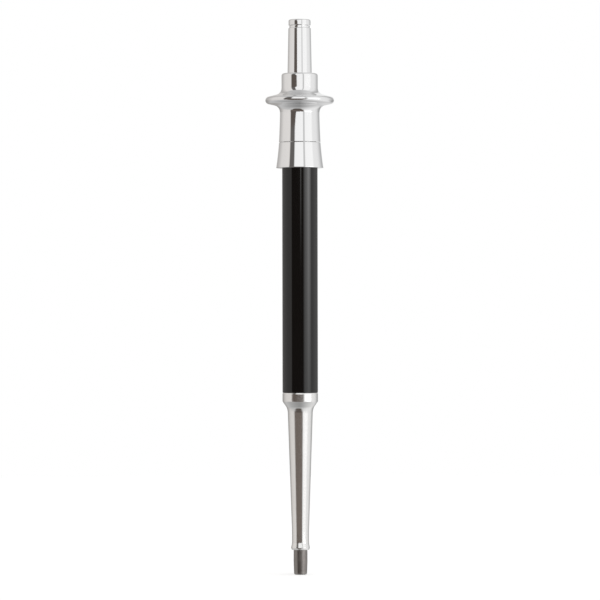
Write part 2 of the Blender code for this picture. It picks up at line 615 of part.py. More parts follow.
# ---------------------------------------------------------------- ejector
def nose_sleeve(finishes, parent):
    bead_middle = NOSE_BOTTOM + 0.35 * NOSE_BEAD_HEIGHT
    bead_top = NOSE_BOTTOM + NOSE_BEAD_HEIGHT
    shoulder_z = NOSE_CONE_TOP + 0.4 * NOSE_SHOULDER_HEIGHT
    shoulder_r = NOSE_CONE_RADIUS + 0.18 * (BARREL_RADIUS - NOSE_CONE_RADIUS)
    outline = [
        (NOSE_BORE, NOSE_BOTTOM),
        (NOSE_BEAD_RADIUS - SEAT_GAP, NOSE_BOTTOM),
        (NOSE_BEAD_RADIUS, bead_middle),
        (NOSE_BEAD_RADIUS - SEAT_GAP / 2, (bead_middle + bead_top) / 2),
        (NOSE_NECK_RADIUS, bead_top),
        (NOSE_NECK_RADIUS, bead_top + NOSE_NECK_HEIGHT),
        (NOSE_CONE_RADIUS, NOSE_CONE_TOP),
        (shoulder_r, shoulder_z),
        (BARREL_RADIUS, NOSE_RING_BOTTOM),
        (BARREL_RADIUS, NOSE_RING_TOP),
        (INSERT_RADIUS, NOSE_RING_TOP),
        (INSERT_RADIUS, NOSE_SPIGOT_TOP),
        (NOSE_WIDE_BORE, NOSE_SPIGOT_TOP),
        (NOSE_WIDE_BORE, NOSE_BUSH_BOTTOM - SEAT_GAP),
        (NOSE_BORE, NOSE_BUSH_BOTTOM - SEAT_GAP),
    ]
    obj = turned("nose_sleeve", outline, finishes["satin"], parent, ROUND_STEPS)
    for _, place in rod_places():
        bottom = NOSE_SPIGOT_TOP - ROD_HOLE_DEPTH
        round_hole(obj, ROD_BORE, bottom, NOSE_SPIGOT_TOP + SEAT_GAP * 3, place)
    return obj


def nose_bush(finishes, parent):
    top = NOSE_BUSH_BOTTOM + NOSE_BUSH_LENGTH
    return ring(
        "nose_bush", NOSE_BUSH_BORE, NOSE_BUSH_RADIUS, NOSE_BUSH_BOTTOM, top, finishes["acetal"],
        parent,
    )


def ejector_rods(finishes, parent):
    for number, place in rod_places():
        name = f"ejector_rod_{number}"
        prism(name, ROD_RADIUS, ROD_BOTTOM, ROD_TOP, SMALL_STEPS, place, finishes["steel"], parent)
        nut_bottom = ROD_NUT_TOP - NUT_HEIGHT
        nut = prism(
            f"rod_nut_{number}", ROD_NUT_RADIUS, nut_bottom, ROD_NUT_TOP, 6, place,
            finishes["brass"], parent,
        )
        round_hole(nut, ROD_BORE, nut_bottom - SEAT_GAP, ROD_NUT_TOP + SEAT_GAP, place)


def ejector_yoke(finishes, parent):
    outline = [
        (PISTON_PASS_RADIUS, YOKE_BOTTOM),
        (YOKE_RADIUS, YOKE_BOTTOM),
        (YOKE_RADIUS, YOKE_TOP),
        (CAGE_SPIGOT_RADIUS, YOKE_TOP),
        (CAGE_SPIGOT_RADIUS, BOSS_TOP),
        (PISTON_PASS_RADIUS, BOSS_TOP),
    ]
    obj = turned("ejector_yoke", outline, finishes["steel"], parent, ROUND_STEPS)
    for _, place in rod_places():
        round_hole(obj, ROD_BORE, YOKE_BOTTOM - SEAT_GAP * 3, ROD_TOP + SEAT_GAP, place)
    return obj


def blowout_cage(finishes, parent):
    return ring(
        "blowout_cage", CAGE_BORE, CAGE_RADIUS, CAGE_BOTTOM, CAGE_TOP, finishes["steel"], parent
    )


def cage_cap(finishes, parent):
    flange = CAGE_TOP + SEAT_GAP
    outline = [
        (CAP_LIP_RADIUS, CAP_LIP_BOTTOM),
        (CAGE_SPIGOT_RADIUS, CAP_LIP_BOTTOM),
        (CAGE_SPIGOT_RADIUS, flange),
        (CAGE_RADIUS, flange),
        (CAGE_RADIUS, CAP_TOP),
        (CAP_LIP_RADIUS, CAP_TOP),
    ]
    return turned("cage_cap", outline, finishes["steel"], parent)


def ejector_pieces(finishes):
    parent = axis_empty("ejector_axis", NOSE_BOTTOM)
    nose_sleeve(finishes, parent)
    nose_bush(finishes, parent)
    ejector_rods(finishes, parent)
    ejector_yoke(finishes, parent)
    blowout_cage(finishes, parent)
    cage_cap(finishes, parent)
    spring(
        "blowout_spring", BLOWOUT_SPRING_BOTTOM, BLOWOUT_SPRING_LENGTH, BLOWOUT_SPRING_RADIUS,
        BLOWOUT_SPRING_WIRE, BLOWOUT_SPRING_TURNS, finishes["spring"], parent,
    )


# ---------------------------------------------------------------- stop stage
def stop_pieces(finishes):
    parent = axis_empty("stop_stage_axis", STOP_RING_BOTTOM)
    ring(
        "first_stop_ring", PISTON_PASS_RADIUS, STOP_RING_RADIUS, STOP_RING_BOTTOM, STOP_RING_TOP,
        finishes["brass"], parent,
    )
    ring(
        "stop_buffer", PISTON_PASS_RADIUS, STOP_COLLAR_RADIUS, BUFFER_BOTTOM, BUFFER_TOP,
        finishes["rubber"], parent,
    )
    spring(
        "return_spring", RETURN_SPRING_BOTTOM, RETURN_SPRING_LENGTH, RETURN_SPRING_RADIUS,
        RETURN_SPRING_WIRE, RETURN_SPRING_TURNS, finishes["spring"], parent,
    )


# ---------------------------------------------------------------- plunger
def piston(finishes, parent):
    top = ROD_END + PISTON_SOCKET_DEPTH - SEAT_GAP
    return prism(
        "piston", PISTON_RADIUS, PISTON_BOTTOM, top, SMALL_STEPS, (0.0, 0.0), finishes["steel"],
        parent,
    )


def plunger_rod(finishes, parent):
    socket_top = ROD_END + PISTON_SOCKET_DEPTH
    groove = PLUNGER_ROD_RADIUS - CIRCLIP_GROOVE_DEPTH
    groove_bottom = CIRCLIP_BOTTOM - RUN_GAP
    groove_top = CIRCLIP_TOP + RUN_GAP
    outline = [
        (PISTON_SOCKET_BORE, ROD_END),
        (PLUNGER_ROD_RADIUS, ROD_END),
        (PLUNGER_ROD_RADIUS, groove_bottom),
        (groove, groove_bottom),
        (groove, groove_top),
        (PLUNGER_ROD_RADIUS, groove_top),
        (PLUNGER_ROD_RADIUS, PLUNGER_ROD_TOP),
        (0.0, PLUNGER_ROD_TOP),
        (0.0, socket_top),
        (PISTON_SOCKET_BORE, socket_top),
    ]
    return turned("plunger_rod", outline, finishes["steel"], parent)


def stop_collar_and_nut(finishes, parent):
    ring(
        "stop_collar", ROD_SOCKET_BORE, STOP_COLLAR_RADIUS, ROD_END, STOP_COLLAR_TOP,
        finishes["brass"], parent,
    )
    top = STOP_NUT_BOTTOM + NUT_HEIGHT
    nut = prism(
        "stop_lock_nut", STOP_NUT_RADIUS, STOP_NUT_BOTTOM, top, 6, (0.0, 0.0), finishes["steel"],
        parent,
    )
    round_hole(nut, ROD_SOCKET_BORE, STOP_NUT_BOTTOM - SEAT_GAP, top + SEAT_GAP)


def spring_cap_and_circlip(finishes, parent):
    ring(
        "spring_cap", ROD_SOCKET_BORE, SPRING_CAP_RADIUS, SPRING_CAP_BOTTOM, SPRING_CAP_TOP,
        finishes["brass"], parent,
    )
    inner = PLUNGER_ROD_RADIUS - CIRCLIP_GROOVE_DEPTH + RUN_GAP
    clip = ring(
        "rod_circlip", inner, CIRCLIP_RADIUS, CIRCLIP_BOTTOM, CIRCLIP_TOP, finishes["spring"],
        parent,
    )
    opening = prism(
        "rod_circlip_opening", CIRCLIP_OPENING * math.sqrt(0.5), CIRCLIP_BOTTOM - SEAT_GAP,
        CIRCLIP_TOP + SEAT_GAP, 4, (CIRCLIP_RADIUS, 0.0), None, parent,
    )
    cut(clip, opening)


def plunger_sleeve(finishes, parent):
    outline = [
        (PLUNGER_BORE_RADIUS, STOP_FLANGE_BOTTOM),
        (PLUNGER_STOP_RADIUS, STOP_FLANGE_BOTTOM),
        (PLUNGER_STOP_RADIUS, STOP_FLANGE_TOP),
        (PLUNGER_RADIUS, STOP_FLANGE_TOP),
        (PLUNGER_RADIUS, COLLAR_TOP),
        (PLUNGER_TOP_RADIUS, PLUNGER_CONE_TOP - SEAT_GAP),
        (GROOVE_RADIUS, PLUNGER_CONE_TOP),
        (GROOVE_RADIUS, PLUNGER_SLEEVE_TOP),
        (PLUNGER_BORE_RADIUS, PLUNGER_SLEEVE_TOP),
    ]
    return turned("plunger_sleeve", outline, finishes["polished"], parent, ROUND_STEPS)


def thumb_cap(finishes, parent):
    spigot_bottom = THUMB_CAP_BOTTOM - CAP_SPIGOT_LENGTH
    socket_top = PLUNGER_ROD_TOP + SEAT_GAP
    edge_r = THUMB_CAP_RADIUS - CAP_EDGE_ROUND
    edge_z = THUMB_CAP_TOP - CAP_EDGE_ROUND
    outline = [
        (ROD_SOCKET_BORE, spigot_bottom),
        (CAP_SPIGOT_RADIUS, spigot_bottom),
        (CAP_SPIGOT_RADIUS, THUMB_CAP_BOTTOM),
        (THUMB_CAP_RADIUS - SEAT_GAP, THUMB_CAP_BOTTOM),
        (THUMB_CAP_RADIUS, THUMB_CAP_BOTTOM + SEAT_GAP),
    ]
    outline += arc(edge_r, edge_z, CAP_EDGE_ROUND, 0, 90, 4)
    outline += [(0.0, THUMB_CAP_TOP), (0.0, socket_top), (ROD_SOCKET_BORE, socket_top)]
    return turned("thumb_cap", outline, finishes["polished"], parent, ROUND_STEPS)


def plunger_pieces(finishes):
    parent = axis_empty("plunger_axis", STOP_FLANGE_BOTTOM)
    piston(finishes, parent)
    plunger_rod(finishes, parent)
    stop_collar_and_nut(finishes, parent)
    spring_cap_and_circlip(finishes, parent)
    plunger_sleeve(finishes, parent)
    thumb_cap(finishes, parent)


def clear_scene():
    for obj in list(bpy.data.objects):
        bpy.data.objects.remove(obj, do_unlink=True)


def main():
    clear_scene()
    finishes = make_finishes()
    handle_pieces(finishes)
    ejector_pieces(finishes)
    stop_pieces(finishes)
    plunger_pieces(finishes)


main()
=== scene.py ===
import math

import bmesh
import bpy
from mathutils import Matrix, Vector


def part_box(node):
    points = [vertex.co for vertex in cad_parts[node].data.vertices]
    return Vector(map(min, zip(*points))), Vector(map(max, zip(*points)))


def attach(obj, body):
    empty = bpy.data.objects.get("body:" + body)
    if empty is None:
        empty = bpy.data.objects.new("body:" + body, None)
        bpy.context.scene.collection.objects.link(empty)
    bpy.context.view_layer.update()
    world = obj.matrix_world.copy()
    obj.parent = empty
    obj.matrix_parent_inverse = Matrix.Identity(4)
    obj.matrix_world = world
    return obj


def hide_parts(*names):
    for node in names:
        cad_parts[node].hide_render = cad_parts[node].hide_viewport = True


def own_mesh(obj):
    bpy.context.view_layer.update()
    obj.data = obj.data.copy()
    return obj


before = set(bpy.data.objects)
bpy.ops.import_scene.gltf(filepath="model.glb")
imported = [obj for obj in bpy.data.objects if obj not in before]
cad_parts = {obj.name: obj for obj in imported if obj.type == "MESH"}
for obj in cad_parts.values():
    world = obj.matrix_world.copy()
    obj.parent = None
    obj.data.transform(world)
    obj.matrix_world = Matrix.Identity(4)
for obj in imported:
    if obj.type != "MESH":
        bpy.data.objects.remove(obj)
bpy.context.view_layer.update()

MM = 0.001
MICRON = 1e-6

# ---------------------------------------------------------------- how finely shapes are cut
LATHE_STEPS = 192
HOLE_STEPS = 40
WIRE_STEPS = 14
COIL_STEPS = 40
ARC_STEP_DEG = 5.0
SHARP_ANGLE = math.radians(32)
WIRE_SHARP_ANGLE = math.radians(64)
MOST_OF_HALF_EDGE = 0.49
NEARLY_STRAIGHT = math.radians(89.5)
HOLD_TURN = math.radians(1.5)

# in millimetres
HOLD = 0.15
LONG_RUN = 0.6
ON_AXIS = 1e-6
SAME_POINT = 1e-4
BOOLEAN_WELD = 0.0005
WIRE_WELD = 0.001

# ---------------------------------------------------------------- sizes, in millimetres
SEAT_GAP = 0.3
SEAM_DROP = 0.25
BARREL_DROP = 0.2
FINE_ROUND = 0.12
EDGE_ROUND = 0.2

TIP_END_RADIUS = 2.92
TIP_CONE_RADIUS = 3.1
TIP_EDGE_ROUND = 0.7
TIP_TAPER_SHARE = 0.52
TIP_SHOULDER = 0.6
AIR_BORE = 0.8
AIR_BORE_LEAD = 0.35
STEM_RADIUS = 1.9

NOSE_BORE = 3.3
NOSE_NECK_RADIUS = 3.8
NOSE_BEAD_RADIUS = 4.2
NOSE_BEAD_LOW = 0.9
NOSE_BEAD_HIGH = 3.5
NOSE_BEAD_ROUND = 0.8
NOSE_BEAD_DROP = 0.10
NOSE_BEAD_FLAT = 0.6
NOSE_BEAD_EASE = 1.7
NOSE_BEAD_STEPS = 10
NOSE_NECK_TOP = 8.1
NOSE_NECK_ROUND = 90.0
NOSE_CONE_RADIUS = 5.6
NOSE_CONE_TOP = 72.9
NOSE_CONE_ROUND = 6.0
NOSE_SHOULDER_UP = 0.4
NOSE_SHOULDER_OUT = 0.18
NOSE_SHOULDER_ROUND = 3.0
NOSE_RING_BOTTOM = 77.5
NOSE_RING_TOP = 81.4
NOSE_RING_ROUND = 0.5
NOSE_BEVEL_HEIGHT = 0.55
NOSE_BEVEL_WIDTH = 0.14
NOSE_BEVEL_LOW_ROUND = 0.1
NOSE_BEVEL_TOP_ROUND = 0.06
NOSE_SPIGOT_RADIUS = 6.9
NOSE_SPIGOT_ROUND = 0.4
NOSE_WIDE_BORE = 4.2
NOSE_WIDE_BORE_BOTTOM = 56.1
ROD_COUNT = 3
ROD_CIRCLE = 5.55
ROD_BORE = 0.9
ROD_HOLE_DEPTH = 4.6

BARREL_BORE = 7.05
BARREL_LOW_ROUND = 0.08
BARREL_TOP_ROUND = 0.3

SKIRT_BORE = 8.2
SKIRT_TOP_RADIUS = 9.34
SKIRT_HOLLOW = 0.1
SKIRT_STEPS = 16
SKIRT_LIP = 1.0
SKIRT_SEAM_ROUND = 0.09
HEAD_BORE = 7.35
SEAT_LEAN = 0.02

SLEEVE_BOTTOM_RADIUS = 9.34
SLEEVE_RADIUS = 8.87
SLEEVE_HEIGHT = 13.0
SLEEVE_SEAM_ROUND = 0.05
SLEEVE_EASE = 1.5
SLEEVE_STEPS = 14
UNDER_FILLET = 3.3
RIM_ROUND = 1.6
RIM_SLOPE_DEG = 76
RIM_ABOVE_SLEEVE = 5.4
TOP_FILLET = 3.2
COLLAR_RADIUS = 8.15
COLLAR_HEIGHT = 6.5
COLLAR_EDGE = 1.1
LIP_BORE = 5.75
LIP_HEIGHT = 2.1
BUSH_SEAT = 6.65

STOP_STEP_HEIGHT = 2.5
PLUNGER_RADIUS = 5.45
PLUNGER_TOP_RADIUS = 5.05
PLUNGER_BEND_ROUND = 60.0
PLUNGER_TOP_ROUND = 0.25
PLUNGER_BORE = 3.9
GROOVE_RADIUS = 4.63
GROOVE_HEIGHT = 1.0
GROOVE_SLOPE = 0.1
GROOVE_ROUND = 0.2

CAP_HEIGHT = 2.6
CAP_EDGE = 0.8
CAP_EDGE_END_DEG = 86
CAP_LOW_ROUND = 0.14
CAP_SEAT_ROUND = 0.05
CAP_CROWN = 0.01
CAP_CROWN_OUTER = 0.6
CAP_CROWN_INNER = 0.3
CAP_SPIGOT_RADIUS = 3.75
CAP_BORE = 2.35
CAP_SOLID_TOP = 4.4


# ---------------------------------------------------------------- small helpers
def extent(name):
    """(lowest level, highest level, outer radius) of a CAD node, in millimetres."""
    low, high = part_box(name)
    return low.z / MM, high.z / MM, high.x / MM


def arc(centre_r, centre_z, radius, start_deg, end_deg):
    """Points of an arc in the (r, z) half-plane, both ends included."""
    steps = max(2, math.ceil(abs(end_deg - start_deg) / ARC_STEP_DEG))
    points = []
    for i in range(steps + 1):
        angle = math.radians(start_deg + (end_deg - start_deg) * i / steps)
        points.append((centre_r + radius * math.cos(angle), centre_z + radius * math.sin(angle)))
    return points


def rounded(corners):
    """An outline from (r, z, round) corners: an arc of that radius stands in for each corner.

    A round that the edges beside it have no room for is made smaller, and a round of 0 leaves
    the corner as it is.
    """
    points = []
    count = len(corners)
    for i, (r, z, radius) in enumerate(corners):
        corner = Vector((r, z))
        if radius <= 0:
            points.append((r, z))
            continue
        before = Vector(corners[i - 1][:2]) - corner
        after = Vector(corners[(i + 1) % count][:2]) - corner
        room = MOST_OF_HALF_EDGE * min(before.length, after.length)
        before.normalize()
        after.normalize()
        half = before.angle(after) / 2
        if half > NEARLY_STRAIGHT:
            points.append((r, z))
            continue
        reach = min(radius / math.tan(half), room)
        radius = reach * math.tan(half)
        centre = corner + (before + after).normalized() * radius / math.sin(half)
        first = corner + before * reach - centre
        last = corner + after * reach - centre
        sweep = first.angle_signed(last)
        steps = max(2, math.ceil(abs(math.degrees(sweep)) / ARC_STEP_DEG))
        start = math.atan2(first.y, first.x)
        for k in range(steps + 1):
            angle = start - sweep * k / steps
            across, up = radius * math.cos(angle), radius * math.sin(angle)
            points.append((centre.x + across, centre.y + up))
    return points


def eased(r_low, z_low, r_high, z_high, power, steps):
    """Points from the low end to the high end, where the radius eases towards the high end."""
    points = []
    for i in range(steps + 1):
        share = i / steps
        radius = r_high + (r_low - r_high) * (1 - share) ** power
        points.append((radius, z_low + (z_high - z_low) * share))
    return points


def without_repeats(outline):
    """The outline without points that lie on the one before, the last against the first too."""
    kept = []
    for point in outline:
        if not kept or math.dist(point, kept[-1]) > SAME_POINT:
            kept.append(point)
    if math.dist(kept[0], kept[-1]) <= SAME_POINT:
        kept.pop()
    return kept


def held(outline):
    """Adds a point just inside a long run's end where it meets a turn, so that it shades flat."""
    points = []
    count = len(outline)
    for i, start in enumerate(outline):
        first, last = Vector(start), Vector(outline[(i + 1) % count])
        run = last - first
        points.append(start)
        if run.length < LONG_RUN:
            continue
        step = run.normalized() * HOLD
        if run.angle(first - Vector(outline[i - 1])) > HOLD_TURN:
            points.append(tuple(first + step))
        if run.angle(Vector(outline[(i + 2) % count]) - last) > HOLD_TURN:
            points.append(tuple(last - step))
    return points


def signed_area(outline):
    """Positive where the outline runs anticlockwise, which makes the turned faces look out."""
    total = 0.0
    for i, (r, z) in enumerate(outline):
        next_r, next_z = outline[(i + 1) % len(outline)]
        total += r * next_z - next_r * z
    return total / 2


def add_object(name, mesh):
    obj = bpy.data.objects.new(name, mesh)
    bpy.context.scene.collection.objects.link(obj)
    return obj


def turned(name, outline):
    """Spins a closed outline of (r, z) points, in millimetres, about the Z axis.

    Each vertex keeps how far along the outline it lies, in millimetres, so that turning lines
    can follow the surface round fillets and edges.
    """
    outline = held(without_repeats(outline))
    if signed_area(outline) < 0:
        outline.reverse()
    bm = bmesh.new()
    run_layer = bm.verts.layers.float.new("run")
    rows = []
    run = 0.0
    for i, (r, z) in enumerate(outline):
        run += math.dist(outline[i - 1], (r, z)) if i else 0.0
        row = []
        for k in range(LATHE_STEPS if r > ON_AXIS else 1):
            angle = math.tau * k / LATHE_STEPS
            place = (r * MM * math.cos(angle), r * MM * math.sin(angle), z * MM)
            vert = bm.verts.new(place)
            vert[run_layer] = run
            row.append(vert)
        rows.append(row)
    for i, row in enumerate(rows):
        above = rows[(i + 1) % len(rows)]
        if len(row) == 1 and len(above) == 1:
            continue
        for k in range(LATHE_STEPS):
            after = (k + 1) % LATHE_STEPS
            if len(row) == 1:
                bm.faces.new((row[0], above[after], above[k]))
            elif len(above) == 1:
                bm.faces.new((row[k], row[after], above[0]))
            else:
                bm.faces.new((row[k], row[after], above[after], above[k]))
    mesh = bpy.data.meshes.new(name)
    bm.to_mesh(mesh)
    bm.free()
    mesh.shade_smooth()
    mesh.set_sharp_from_angle(angle=SHARP_ANGLE)
    return add_object(name, mesh)


def applied(obj):
    """Makes the object's modifiers part of its mesh."""
    graph = bpy.context.evaluated_depsgraph_get()
    mesh = bpy.data.meshes.new_from_object(obj.evaluated_get(graph), depsgraph=graph)
    obj.modifiers.clear()
    obj.data = mesh
    return obj


def welded(obj, distance, sharp_angle):
    """Joins vertices closer than the distance, in millimetres, and marks the sharp edges."""
    bm = bmesh.new()
    bm.from_mesh(obj.data)
    bmesh.ops.remove_doubles(bm, verts=bm.verts, dist=distance * MM)
    bmesh.ops.recalc_face_normals(bm, faces=bm.faces)
    bm.to_mesh(obj.data)
    bm.free()
    obj.data.shade_smooth()
    obj.data.set_sharp_from_angle(angle=sharp_angle)
    return obj


def stands_for(piece, node, body, material):
    """The piece takes the CAD node's place, rides on its body and wears this material."""
    piece.data.materials.clear()
    piece.data.materials.append(material)
    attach(piece, body)
    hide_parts(node)


# ---------------------------------------------------------------- node helpers
NOISE_LOW = 0.3
NOISE_HIGH = 0.7


def fill(tree, node, inputs):
    """Sets or links a node's inputs, which are given by name or number."""
    for key, value in inputs.items():
        if isinstance(value, bpy.types.NodeSocket):
            tree.links.new(value, node.inputs[key])
        else:
            node.inputs[key].default_value = value


def add_node(tree, kind, inputs=None, **settings):
    """Adds a node, with settings by name, and fills its inputs."""
    made = tree.nodes.new(kind)
    for key, value in settings.items():
        setattr(made, key, value)
    fill(tree, made, inputs or {})
    return made


def maths(tree, operation, first, second=0.0, third=0.0, clamp=False):
    inputs = {0: first, 1: second, 2: third}
    made = add_node(tree, "ShaderNodeMath", inputs, operation=operation, use_clamp=clamp)
    return made.outputs[0]


def noise(tree, place, scale, detail, roughness):
    inputs = {"Vector": place, "Scale": scale, "Detail": detail, "Roughness": roughness}
    return add_node(tree, "ShaderNodeTexNoise", inputs).outputs["Fac"]


def line_noise(tree, run, scale, detail, roughness):
    """Noise along one length only, for lines that go right round a turned piece."""
    inputs = {"W": run, "Scale": scale, "Detail": detail, "Roughness": roughness}
    made = add_node(tree, "ShaderNodeTexNoise", inputs, noise_dimensions="1D")
    return made.outputs["Fac"]


def spread(tree, value, low, high, from_low=NOISE_LOW, from_high=NOISE_HIGH):
    """Maps from_low to low and from_high to high, and holds both ends."""
    inputs = {
        "Value": value, "From Min": from_low, "From Max": from_high,
        "To Min": low, "To Max": high,
    }
    return add_node(tree, "ShaderNodeMapRange", inputs).outputs["Result"]


def between(tree, factor, first, second, blend="MIX"):
    """Blends two colours, each a colour or a socket. With blend ADD the second is added."""
    made = tree.nodes.new("ShaderNodeMix")
    made.data_type = "RGBA"
    made.blend_type = blend
    tree.links.new(factor, made.inputs["Factor"])
    for socket, value in ((made.inputs[6], first), (made.inputs[7], second)):
        if isinstance(value, bpy.types.NodeSocket):
            tree.links.new(value, socket)
        else:
            socket.default_value = (*value, 1.0)
    return made.outputs[2]


def directed_noise(tree, place, scales, detail, roughness):
    """Noise with a scale for each axis, so that a grain runs one way."""
    made = add_node(tree, "ShaderNodeMapping", {"Vector": place, "Scale": scales})
    return noise(tree, made.outputs["Vector"], 1.0, detail, roughness)


def relief(tree, *layers):
    """Bump layers, the lowest first, each a (pattern, strength, depth in microns)."""
    normal = None
    for pattern, strength, depth in layers:
        inputs = {"Height": pattern, "Strength": strength, "Distance": depth * MICRON}
        if normal is not None:
            inputs["Normal"] = normal
        normal = add_node(tree, "ShaderNodeBump", inputs).outputs["Normal"]
    return normal


def both(tree, broad, fine):
    """A broad pattern with a fine one on top of it."""
    return maths(tree, "ADD", broad, fine)


def new_material(name):
    """(material, its tree, its shader, the Object coordinates)."""
    material = bpy.data.materials.new(name)
    material.use_nodes = True
    tree = material.node_tree
    shader = tree.nodes["Principled BSDF"]
    place = tree.nodes.new("ShaderNodeTexCoord").outputs["Object"]
    return material, tree, shader, place


def run_of(tree):
    """How far along its outline a turned piece has got, in millimetres."""
    return add_node(tree, "ShaderNodeAttribute", attribute_name="run").outputs["Fac"]


def level_of(tree, place):
    """The height up the axis, in millimetres, for CAD nodes that carry no run of their own."""
    height = add_node(tree, "ShaderNodeSeparateXYZ", {0: place}).outputs["Z"]
    return maths(tree, "MULTIPLY", height, 1.0 / MM)


# ---------------------------------------------------------------- outer finishes
CHROME_CLEAN = (0.955, 0.953, 0.950)
CHROME_SMEARED = (0.905, 0.905, 0.910)
ALUMINIUM_BRIGHT = (0.945, 0.938, 0.926)
ALUMINIUM_CLOUDED = (0.905, 0.898, 0.888)
ALUMINIUM_DRY = (0.80, 0.795, 0.785)
LACQUER_DEEP = (0.0026, 0.0021, 0.0019)
LACQUER_THIN = (0.0040, 0.0034, 0.0031)
TIP_LIGHT = (0.330, 0.305, 0.290)
TIP_DARK = (0.280, 0.260, 0.248)
TIP_RUBBED = (0.44, 0.42, 0.40)


def polished_chrome():
    """Bright plating over a polished turning: faint rings, a few handling marks, soft smears."""
    material, tree, shader, place = new_material("polished_chrome")
    rings = line_noise(tree, run_of(tree), scale=7.0, detail=5.0, roughness=0.65)
    smear = directed_noise(tree, place, (90.0, 90.0, 45.0), detail=4.0, roughness=0.6)
    marks = directed_noise(tree, place, (2600.0, 2600.0, 260.0), detail=2.0, roughness=0.7)
    fine = noise(tree, place, scale=2200.0, detail=3.0, roughness=0.6)
    scuffed = spread(tree, marks, 0.0, 0.04, from_low=0.62, from_high=0.80)
    fill(tree, shader, {
        "Base Color": between(tree, smear, CHROME_CLEAN, CHROME_SMEARED),
        "Metallic": 1.0,
        "Roughness": both(tree, spread(tree, smear, 0.030, 0.060), scuffed),
        "Normal": relief(tree, (rings, 0.05, 20), (fine, 0.03, 10)),
    })
    return material


def satin_aluminium():
    """Turned and bead-blasted aluminium: fine feed lines right round and a dry grain over them."""
    material, tree, shader, place = new_material("satin_aluminium")
    lines = line_noise(tree, run_of(tree), scale=11.0, detail=5.0, roughness=0.7)
    cloud = directed_noise(tree, place, (140.0, 140.0, 60.0), detail=4.0, roughness=0.6)
    grain = noise(tree, place, scale=5200.0, detail=2.0, roughness=0.7)
    base = between(tree, cloud, ALUMINIUM_BRIGHT, ALUMINIUM_CLOUDED)
    dry = spread(tree, grain, 0.0, 0.30, from_low=0.35, from_high=0.75)
    fill(tree, shader, {
        "Base Color": between(tree, dry, base, ALUMINIUM_DRY),
        "Metallic": 1.0,
        "Anisotropic": 0.35,
        "Roughness": both(tree, spread(tree, cloud, 0.12, 0.17), spread(tree, grain, 0.0, 0.05)),
        "Normal": relief(tree, (lines, 0.10, 30), (grain, 0.10, 20)),
    })
    return material


def black_barrel():
    """Deep black lacquer over metal: a slight ripple, a fine dusty grain and faint wiping marks."""
    material, tree, shader, place = new_material("black_barrel")
    ripple = directed_noise(tree, place, (160.0, 160.0, 55.0), detail=3.0, roughness=0.5)
    wiping = directed_noise(tree, place, (1500.0, 1500.0, 70.0), detail=3.0, roughness=0.6)
    grain = noise(tree, place, scale=3800.0, detail=2.0, roughness=0.7)
    wiped = spread(tree, wiping, 0.0, 0.02, from_low=0.45, from_high=0.75)
    fill(tree, shader, {
        "Base Color": between(tree, ripple, LACQUER_DEEP, LACQUER_THIN),
        "Metallic": 0.0,
        "IOR": 1.5,
        "Roughness": both(tree, spread(tree, ripple, 0.035, 0.055), wiped),
        "Normal": relief(tree, (ripple, 0.03, 40), (grain, 0.05, 10)),
    })
    return material


def tip_steel():
    """Dark passivated steel: turned rings, a warm grey cast, and a lighter worn end."""
    material, tree, shader, place = new_material("tip_steel")
    lines = line_noise(tree, run_of(tree), scale=9.0, detail=5.0, roughness=0.7)
    cloud = directed_noise(tree, place, (420.0, 420.0, 260.0), detail=4.0, roughness=0.6)
    grain = noise(tree, place, scale=4200.0, detail=3.0, roughness=0.65)
    wear = spread(tree, level_of(tree, place), 1.0, 0.0, from_low=0.2, from_high=1.4)
    rubbed = maths(tree, "MULTIPLY", wear, spread(tree, cloud, 0.2, 1.0), clamp=True)
    base = between(tree, cloud, TIP_LIGHT, TIP_DARK)
    fill(tree, shader, {
        "Base Color": between(tree, rubbed, base, TIP_RUBBED),
        "Metallic": 1.0,
        "Roughness": both(tree, spread(tree, cloud, 0.29, 0.37), spread(tree, grain, 0.0, 0.05)),
        "Normal": relief(tree, (lines, 0.12, 30), (grain, 0.10, 10)),
    })
    return material


# ---------------------------------------------------------------- inner finishes
STAINLESS_LIGHT, STAINLESS_DARK = (0.66, 0.66, 0.65), (0.57, 0.57, 0.57)
BRASS_LIGHT, BRASS_DARK = (0.80, 0.62, 0.32), (0.66, 0.48, 0.24)
WIRE_LIGHT, WIRE_BLUED = (0.52, 0.52, 0.53), (0.40, 0.41, 0.44)
ACETAL_LIGHT, ACETAL_DARK = (0.86, 0.85, 0.82), (0.80, 0.79, 0.755)
RUBBER_BLACK, RUBBER_BLOOM = (0.016, 0.016, 0.017), (0.040, 0.039, 0.038)


def inner_metal(name, light, dark, rough_low, rough_high, line_scale):
    """A turned metal for the works: feed lines up the axis, a fine grain and uneven tarnish."""
    material, tree, shader, place = new_material(name)
    lines = line_noise(tree, level_of(tree, place), line_scale, detail=4.0, roughness=0.7)
    cloud = noise(tree, place, scale=260.0, detail=4.0, roughness=0.6)
    grain = noise(tree, place, scale=4500.0, detail=3.0, roughness=0.65)
    tarnish = spread(tree, cloud, rough_low, rough_high)
    fill(tree, shader, {
        "Base Color": between(tree, cloud, light, dark),
        "Metallic": 1.0,
        "Roughness": both(tree, tarnish, spread(tree, grain, 0.0, 0.05)),
        "Normal": relief(tree, (lines, 0.15, 30), (grain, 0.10, 10)),
    })
    return material


def drawn_wire():
    """Spring wire: a fine drawn grain and a blued cast in patches."""
    material, tree, shader, place = new_material("spring_steel")
    cloud = noise(tree, place, scale=320.0, detail=4.0, roughness=0.6)
    grain = directed_noise(tree, place, (1800.0, 1800.0, 9000.0), detail=3.0, roughness=0.6)
    fill(tree, shader, {
        "Base Color": between(tree, cloud, WIRE_LIGHT, WIRE_BLUED),
        "Metallic": 1.0,
        "Roughness": both(tree, spread(tree, cloud, 0.22, 0.32), spread(tree, grain, 0.0, 0.08)),
        "Normal": relief(tree, (grain, 0.20, 10)),
    })
    return material


